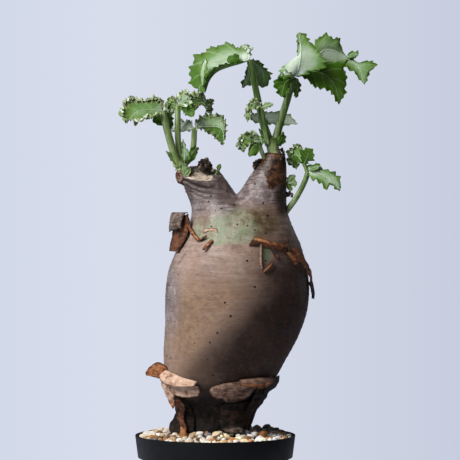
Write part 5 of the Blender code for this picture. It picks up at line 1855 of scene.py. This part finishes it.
@dataclass
class Studio:
    """The plain pale floor, the soft lights and the camera at the photograph's angle.

    distance, level and axis place the camera and aim is what the lights point at, in metres. pixel is
    what one pixel spans at the plant, in millimetres, and picture the photograph's side in pixels.
    STRIPES are the backdrop's colours from left to right and GLOW those of the light that it gives.
    LIGHTS holds each light's name, place, size, power and colour.
    """

    distance: float = 1.153
    level: float = 0.1949
    axis: float = 0.00825
    pixel: float = 0.5618
    picture: int = 460
    aim: Point = (0.01, 0.0, 0.18)
    floor_radius: float = 0.52

    STRIPES = (
        (0.0, (210, 217, 232)), (0.25, (216, 221, 236)), (0.65, (209, 214, 229)), (1.0, (199, 205, 222))
    )
    GLOW = ((0.0, (215, 222, 240)), (1.0, (60, 52, 50)))
    LIGHTS = (
        ("key_window", (-0.74, -0.66, 1.06), 0.75, 28.0, (1.0, 0.985, 0.975)),
        ("rim_window", (-0.95, 0.55, 0.4), 0.7, 2.6, (0.82, 0.9, 1.0)),
        ("back_window", (0.9, 0.95, 0.5), 0.7, 2.0, (0.94, 0.95, 1.0)),
        ("fill_card", (0.7, -1.0, 0.45), 0.9, 0.4, (1.0, 0.92, 0.86)),
    )

    def build(self) -> None:
        """Makes the whole studio."""
        self._floor()
        self._sky()
        for light in self.LIGHTS:
            self._light(*light)
        self._camera()

    def _floor(self) -> None:
        """A pale disc that the pot stands on."""
        bm = bmesh.new()
        bmesh.ops.create_circle(bm, cap_ends=True, segments=96, radius=self.floor_radius)
        floor = scratch(bm, "studio_floor")
        floor.data.materials.append(StudioFloor().material())

    def _sky(self) -> None:
        """A pale lavender backdrop for the eye and a dimmer, left-weighted glow for the light."""
        world = bpy.data.worlds.new("studio_air")
        bpy.context.scene.world = world
        world.use_nodes = True
        nodes, links = world.node_tree.nodes, world.node_tree.links
        nodes.clear()
        place = nodes.new("ShaderNodeTexCoord")
        split = nodes.new("ShaderNodeSeparateXYZ")
        links.new(place.outputs["Generated"], split.inputs[0])

        def backdrop(
            stops: Sequence[tuple[float, Colour]], low: float, high: float, strength: float
        ) -> Socket:
            """A background that runs between colours from left to right.

            Args:
                stops: its colours, with their places.
                low: where the first lies, as a sideways direction.
                high: where the last lies.
                strength: its strength.

            Returns:
                The background's socket.
            """
            span = nodes.new("ShaderNodeMapRange")
            span.inputs["From Min"].default_value, span.inputs["From Max"].default_value = low, high
            links.new(split.outputs["X"], span.inputs["Value"])
            ramp = nodes.new("ShaderNodeValToRGB")
            for _ in stops[2:]:
                ramp.color_ramp.elements.new(0.5)
            for element, (spot, colour) in zip(ramp.color_ramp.elements, stops):
                element.position, element.color = spot, rgba(colour)
            links.new(span.outputs["Result"], ramp.inputs["Fac"])
            background = nodes.new("ShaderNodeBackground")
            background.inputs["Strength"].default_value = strength
            links.new(ramp.outputs["Color"], background.inputs["Color"])
            return background.outputs["Background"]

        seen = backdrop(self.STRIPES, -0.112, 0.112, 1.0)
        glow = backdrop(self.GLOW, -0.9, 0.6, 0.085)
        eye = nodes.new("ShaderNodeLightPath")
        both = nodes.new("ShaderNodeMixShader")
        links.new(eye.outputs["Is Camera Ray"], both.inputs["Fac"])
        links.new(glow, both.inputs[1])
        links.new(seen, both.inputs[2])
        links.new(both.outputs["Shader"], nodes.new("ShaderNodeOutputWorld").inputs["Surface"])

    def _light(self, name: str, place: Point, size: float, power: float, colour: Colour) -> None:
        """A square soft light aimed at the plant.

        Args:
            name: its name.
            place: where it hangs, in metres.
            size: its side in metres.
            power: its power in watts.
            colour: its colour.
        """
        data = bpy.data.lights.new(name, "AREA")
        data.shape, data.size, data.energy, data.color = "SQUARE", size, power, colour
        lamp = linked(name, data)
        lamp.location = place
        lamp.rotation_euler = (Vector(self.aim) - Vector(place)).to_track_quat("-Z", "Y").to_euler()

    def _camera(self) -> None:
        """The level camera of the photograph."""
        data = bpy.data.cameras.new("photograph")
        data.sensor_fit, data.sensor_width = "HORIZONTAL", 36.0
        data.lens = 18.0 * self.distance / (self.picture / 2 * self.pixel * MM)
        data.clip_start, data.clip_end = 0.05, 20.0
        camera = linked("photograph", data)
        camera.location = (self.axis, -self.distance, self.level)
        camera.rotation_euler = (math.pi / 2, 0.0, 0.0)
        bpy.context.scene.camera = camera
        bpy.context.scene.view_settings.view_transform = "Standard"


ORANGE, GREY, CORK, SHADED_CORK, UMBER, RUST = BarkTone

FLAKES = (
    Flake("bark_tab_left", (((203, 119.3, 0.4), (203, 112.4, 0.5)), ((195, 121.4, 4), (195, 112, 3.4)),
      ((188, 118.6, 7.6), (188, 112.8, 6.6)), ((184, 115, 10.4), (184, 113.4, 10))), ORANGE, RUST, 0.6,
      0.4),
    Flake("bark_skirt_left", (((184, 113.8, 0.6), (198, 112, 0.6), (216, 109, 0.6)), ((184, 108, 2.8), (198,
      105.5, 3.8), (215, 103.5, 3.6)), ((187, 101, 4.2), (198, 100, 5), (211, 99.5, 4.6)), ((192, 95.6, 5),
      (199, 95.4, 5.8), (206, 97, 5.2))), CORK, RUST, 0.8, 0.4, 0.6, rim=0.6, node="bark_plate_left"),
    Flake("bark_plate_left", (((212, 110.4, 1.2), (232, 109.2, 1), (248, 109.2, 0.6)), ((212, 106.4, 3.8),
      (232, 105.2, 3.4), (249, 106.2, 2.4)), ((216, 104.2, 4.6), (231, 102.8, 4.4), (247, 103.8, 3))), CORK,
      RUST, 0.4, 0.05, 0.7),
    Flake("bark_lip_left", (((192, 117.8, 0.4), (209, 116.2, 0.4), (228, 113.4, 0.4), (246, 111.2, 0.4)),
      ((192, 115.8, 2), (207, 113.2, 3.2), (227, 111.2, 3.8), (246.5, 110.4, 2.8)), ((194, 113.8, 3.4),
      (206, 110.2, 4.8), (225, 108.2, 5.6), (245.5, 109, 4.2))), CORK, RUST, 0.3, 0.05, 0.7,
      node="bark_plate_left"),
    Flake("bark_strip_left", (((205, 105, 3.8), (216, 104.6, 3)), ((207, 98, 5), (224, 97, 3.6)), ((204, 92,
      6.4), (218, 91, 5.2)), ((212, 86, 6.6), (224, 85.5, 5.2)), ((213, 80.8, 6.6), (224, 80.6, 5.2))),
      RUST, RUST, 0.9, 0.7, rim=0.4),
    # A nearly black scrap of bark beside the left strip that also serves as painted shade there.
    Flake("bark_scrap_shade_left", (((207, 95.5, 5.4), (225, 97, 0.8)), ((199, 90, 8.2), (227, 90, 0.8)), ((188,
      85.5, 9), (227, 84.5, 0.8)), ((190, 80.4, 8.4), (227, 80.4, 0.8))), UMBER, UMBER, 0.6, 0.3, 0.6,
      node="bark_strip_left"),
    Flake("bark_plate_front", (((262, 108.2, 0.6), (273, 110.8, 0.6), (291, 112, 0.6), (309, 111.8, 0.6)),
      ((260, 106.4, 2.2), (274, 107, 2.8), (292, 107.4, 3.2), (309, 108.2, 3)), ((263, 104.4, 2.6), (271,
      102.2, 3.6), (286, 100.2, 4.4), (299, 101.6, 4.2), (308, 104, 3.6))), SHADED_CORK, UMBER, 1.1, 0.1, 0.7),
    Flake("bark_lip_front", (((289, 112.4, 0.7), (304, 113, 0.6), (318, 113.4, 0.6), (331, 113.4, 0.6)),
      ((288, 111.4, 4), (304, 111.6, 4.6), (318, 111.8, 4.2), (331, 112, 3.2)), ((289, 109.8, 5.4), (302,
      108.8, 6), (312, 107.8, 5.8), (322, 108.8, 5.2), (331, 110.4, 4))), SHADED_CORK, RUST, 0.5, 0.2, 0.6,
      rim=0.6, node="bark_plate_front"),
    Flake("bark_tip_right", (((322, 112.6, 0.6), (354, 113.6, 0.8)), ((324, 109.2, 3), (355, 110.4, 2.4)),
      ((326, 103, 4.2), (350, 106.4, 3))), UMBER, RUST, 0.9, 0.6, node="bark_plate_front"),
    Flake("bark_fold_right", (((316, 107.5, 0.6), (354, 109.4, 1)), ((316, 100, 3), (352, 101.5, 3.2)),
      ((312, 92, 4.2), (350, 93.5, 4.6)), ((308, 81.5, 3.6), (346, 82, 2.8))), UMBER, RUST, 1, 0.9),
    Flake("bark_plate_low", (((276, 99, 0.6), (318, 100, 0.8)), ((275, 93, 3.2), (316, 94, 3.8)), ((277, 87,
      5.6), (312, 87, 6.2)), ((283, 83.2, 8), (306, 82.4, 8.4))), UMBER, GREY, 0.9, 0.8, 0.5, grey=0.2),
    Flake("bark_flap_shoulder", (((200, 182.6, 0.6), (178, 183, 3.6)), ((204, 193, 1.4), (190, 193, 3.4),
      (176, 192, 7.2)), ((202, 204, 3.8), (190, 203, 5.6), (178, 203.6, 9.6))), RUST, ORANGE, 0.7, 0.8,
      0.6),
    Flake("bark_roll_shoulder", (((200, 204.2, 4), (177, 204.2, 9)), ((200, 203.8, 5.6), (177, 204, 11)),
      ((198, 199, 6), (178, 198.4, 11.2)), ((198, 196.2, 5), (181, 193.8, 9.6))), GREY, ORANGE, 0.7, 0.6,
      node="bark_flap_shoulder"),
    Flake("bark_curl_shoulder", (((222, 188.6, 0.5), (225.5, 190, 0.5)), ((211, 192.6, 1.8), (215, 194,
      1.4)), ((200, 197.6, 2.6), (202, 198.6, 2.4))), ORANGE, CORK, 0.5, 0.4, 0.35),
    Flake("bark_curl_middle", (((224, 188, 0.5), (227, 190.6, 0.5)), ((229, 189.2, 1.2), (232, 191.8, 1.6)),
      ((233.5, 191, 1), (235, 192, 2))), RUST, ORANGE, 0.5, 0.4, 0.35, node="bark_curl_shoulder"),
    Flake("bark_fringe_middle", (((226, 193, 0.25), (236, 194.6, 0.25), (245, 193.6, 0.25)), ((227, 196.4,
      0.7), (236, 196, 0.8), (243, 196.4, 0.7))), CORK, ORANGE, 1.6, 0.3, 0.3, node="bark_curl_shoulder"),
    Flake("bark_curl_front", (((239, 189.8, 0.5), (242.5, 189.2, 0.5)), ((236.4, 187, 1.6), (240.4, 186.4,
      1.2)), ((235.4, 183.8, 2.2), (237.4, 183.4, 1.8))), ORANGE, CORK, 0.5, 0.4, 0.35),
    Flake("bark_edge_right", (((277.5, 186.2, 0.3), (290, 186, 0.3), (300, 184.6, 0.3), (318, 182.4, 0.3)),
      ((279.5, 188.4, 0.7), (289, 188.2, 0.9), (300, 186.4, 1.1), (317, 184.8, 1.3)), ((284, 191.6, 1.1),
      (289, 190.8, 1.5), (300, 188.6, 1.9), (312, 187.4, 2.2), (319, 190.8, 2.6))), RUST, RUST, 0.5, 0.2,
      0.35, rim=0.7),
    Flake("bark_window_left", (((288.4, 187, 0.4), (290, 187, 0.7)), ((287.2, 180, 0.5), (289.4, 180, 1.6)),
      ((288.6, 173.6, 0.5), (290, 173.6, 1.2))), CORK, ORANGE, 0.3, 0.3, 0.35),
    Flake("bark_window_low", (((299, 178, 0.5), (300.5, 176.8, 1.3)), ((294, 175, 0.6), (295.6, 173.8,
      1.7)), ((290, 172.4, 0.5), (291, 171.6, 1.5))), ORANGE, RUST, 0.4, 0.3, 0.35,
      node="bark_window_left"),
    Flake("bark_window_right", (((297.5, 186.4, 0.5), (300, 186.8, 0.7)), ((300, 182, 1.2), (303.4, 182.6,
      2)), ((304, 178.4, 0.6), (306.4, 178.8, 1.6))), RUST, ORANGE, 0.4, 0.4, 0.35, rim=0.5),
    Flake("bark_strip_right", (((321, 185, 0.5), (333, 185.4, 0.6)), ((327, 179.5, 1.2), (339, 180, 1.6)),
      ((335, 174, 1.4), (346, 174.5, 2)), ((345, 169, 1.2), (354, 169.5, 1.8)), ((351, 164.6, 0.8), (356,
      164.4, 1.4))), ORANGE, RUST, 1.2, 0.8, 0.4),
    Flake("bark_scrap_right", (((314, 182.5, 0.4), (331, 183, 0.5)), ((317, 178.5, 1.4), (331, 178.8, 1.8)),
      ((319, 175.2, 2), (327, 175.6, 2.2))), ORANGE, RUST, 1.2, 0.8, 0.4, node="bark_strip_right"),
    Flake("bark_tag_right", (((347, 166, 0.5), (357, 166.4, 1.4)), ((349, 161.5, 1.2), (358, 161, 2.4)),
      ((353, 156.4, 1.4), (356, 156.2, 1.8))), UMBER, RUST, 0.9, 0.8, 0.6),
    Flake("bark_skirt_back_right", (((12, 112, 0.5), (36, 113, 0.5), (62, 111, 0.5)), ((12, 104, 2.4), (36,
      105, 2.8), (62, 103, 2.2)), ((16, 95, 4.2), (38, 98, 3.6), (60, 96, 3.6))), CORK, RUST, 1, 0.6, 0.7),
    Flake("bark_skirt_back", (((72, 110, 0.5), (92, 112, 0.5), (112, 112, 0.5)), ((72, 103, 2), (92, 103,
      2.6), (113, 104, 2.2)), ((76, 96, 3.4), (92, 93.5, 4), (110, 95, 4))), GREY, RUST, 1, 0.7, 0.7),
    Flake("bark_skirt_back_left", (((122, 112, 0.5), (144, 112, 0.5), (164, 110, 0.5)), ((121, 103, 2.2),
      (144, 104, 2.6), (164, 102, 2.4)), ((124, 94, 3.8), (142, 97, 3.4), (162, 95, 3.4))), CORK, UMBER, 1,
      0.6, 0.7),
)

RIGHT_STALKS = (
    Stalk(3.3, 3.9, ((33, 0, 237), (32.3, 0, 241.5), (31.8, 0, 246.6)), -0.2),
    Stalk(2.1, 1.8, ((30.4, -1, 242.6), (27, -1.5, 253.8), (22.8, -2, 273.4), (19.3, -3, 290.2)), 0.45),
    Stalk(2.3, 1.9, ((33, 0, 242.7), (36.6, 1, 255.6), (39.7, 1, 265.7), (44.2, 0, 280.9)), 0.45),
    Stalk(1.2, 1, ((29.5, -3, 243.6), (27.8, -5, 254.2), (26.1, -5, 263.1)), 0.45),
    Stalk(1.2, 1, ((31.9, 3, 245), (29.8, 9, 251), (27.4, 15, 258.8)), 0.45),
)
LEFT_STALKS = (
    Stalk(3, 4, ((-19, -1, 228.4), (-19.2, -1, 231.4), (-19.2, -1, 234)), -0.4),
    Stalk(2.1, 2, ((-20.9, -2, 230.8), (-25, -4, 243.9), (-29.6, -5, 261.5)), -0.4),
    Stalk(1.8, 1.6, ((-19.6, 0, 231.4), (-21, 0, 245.5), (-21.1, 0, 265.1)), -0.4),
    Stalk(1.7, 1.6, ((-17.6, 1, 231.4), (-14, 4, 236.4), (-12.3, 4, 242.8), (-11.8, 4, 252.4)), -0.4),
)
INNER_STALKS = (Stalk(1.3, 1.2, ((29, -2.5, 232), (26.1, -5, 238.5), (24.2, -6, 244.1))),)
SIDE_STALKS = (
    Stalk(1.7, 1.5, ((37.9, -1.6, 203), (44.7, -3, 211.9), (49.4, -4, 220.5), (51.9, -4, 226.9))),
    Stalk(1.2, 1, ((51.9, -4, 226), (50.5, -4, 230.2), (49.4, -4, 232.1))),
)
BUD_STALKS = (Stalk(0.9, 0.8, ((38, -1.2, 218.5), (39.1, -1.5, 219.6), (40.8, -2, 221.3))),)
SPROUT_STALKS = (Stalk(0.9, 0.8, ((-0.8, -1.6, 224.4), (1, -2.2, 227), (1.8, -2.6, 228.6))),)


def dress_soil() -> None:
    """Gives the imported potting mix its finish."""
    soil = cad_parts["potting_soil"]
    soil.data.materials.clear()
    soil.data.materials.append(PottingMix().material())


def main() -> None:
    """Builds every piece and the studio."""
    logging.basicConfig(level=logging.INFO, format="%(name)s: %(message)s")
    leaf = LeafGreen("leaf_waxy_side", True).material(), LeafGreen("leaf_underside", False).material()
    Studio().build()
    Pot().build()
    dress_soil()
    Gravel().build()
    _, surface = Caudex().build()
    Deadwood().build()
    for seed, flake in enumerate(FLAKES):
        flake.build(surface, seed + 1.0)
    shoots = (
        ("leafy_shoot_right", RIGHT_STALKS, RIGHT_BLADES),
        ("leafy_shoot_left", LEFT_STALKS, LEFT_BLADES),
        ("leaf_inner", INNER_STALKS, INNER_BLADES),
        ("leaf_side", SIDE_STALKS, SIDE_BLADES),
        ("bud_side", BUD_STALKS, BUD_BLADES),
        ("bud_left", SPROUT_STALKS, SPROUT_BLADES),
    )
    for seed, (node, stalks, blades) in enumerate(shoots):
        Shoot(node, stalks, blades, leaf, seed + 3).build()


if __name__ == "__main__":
    main()
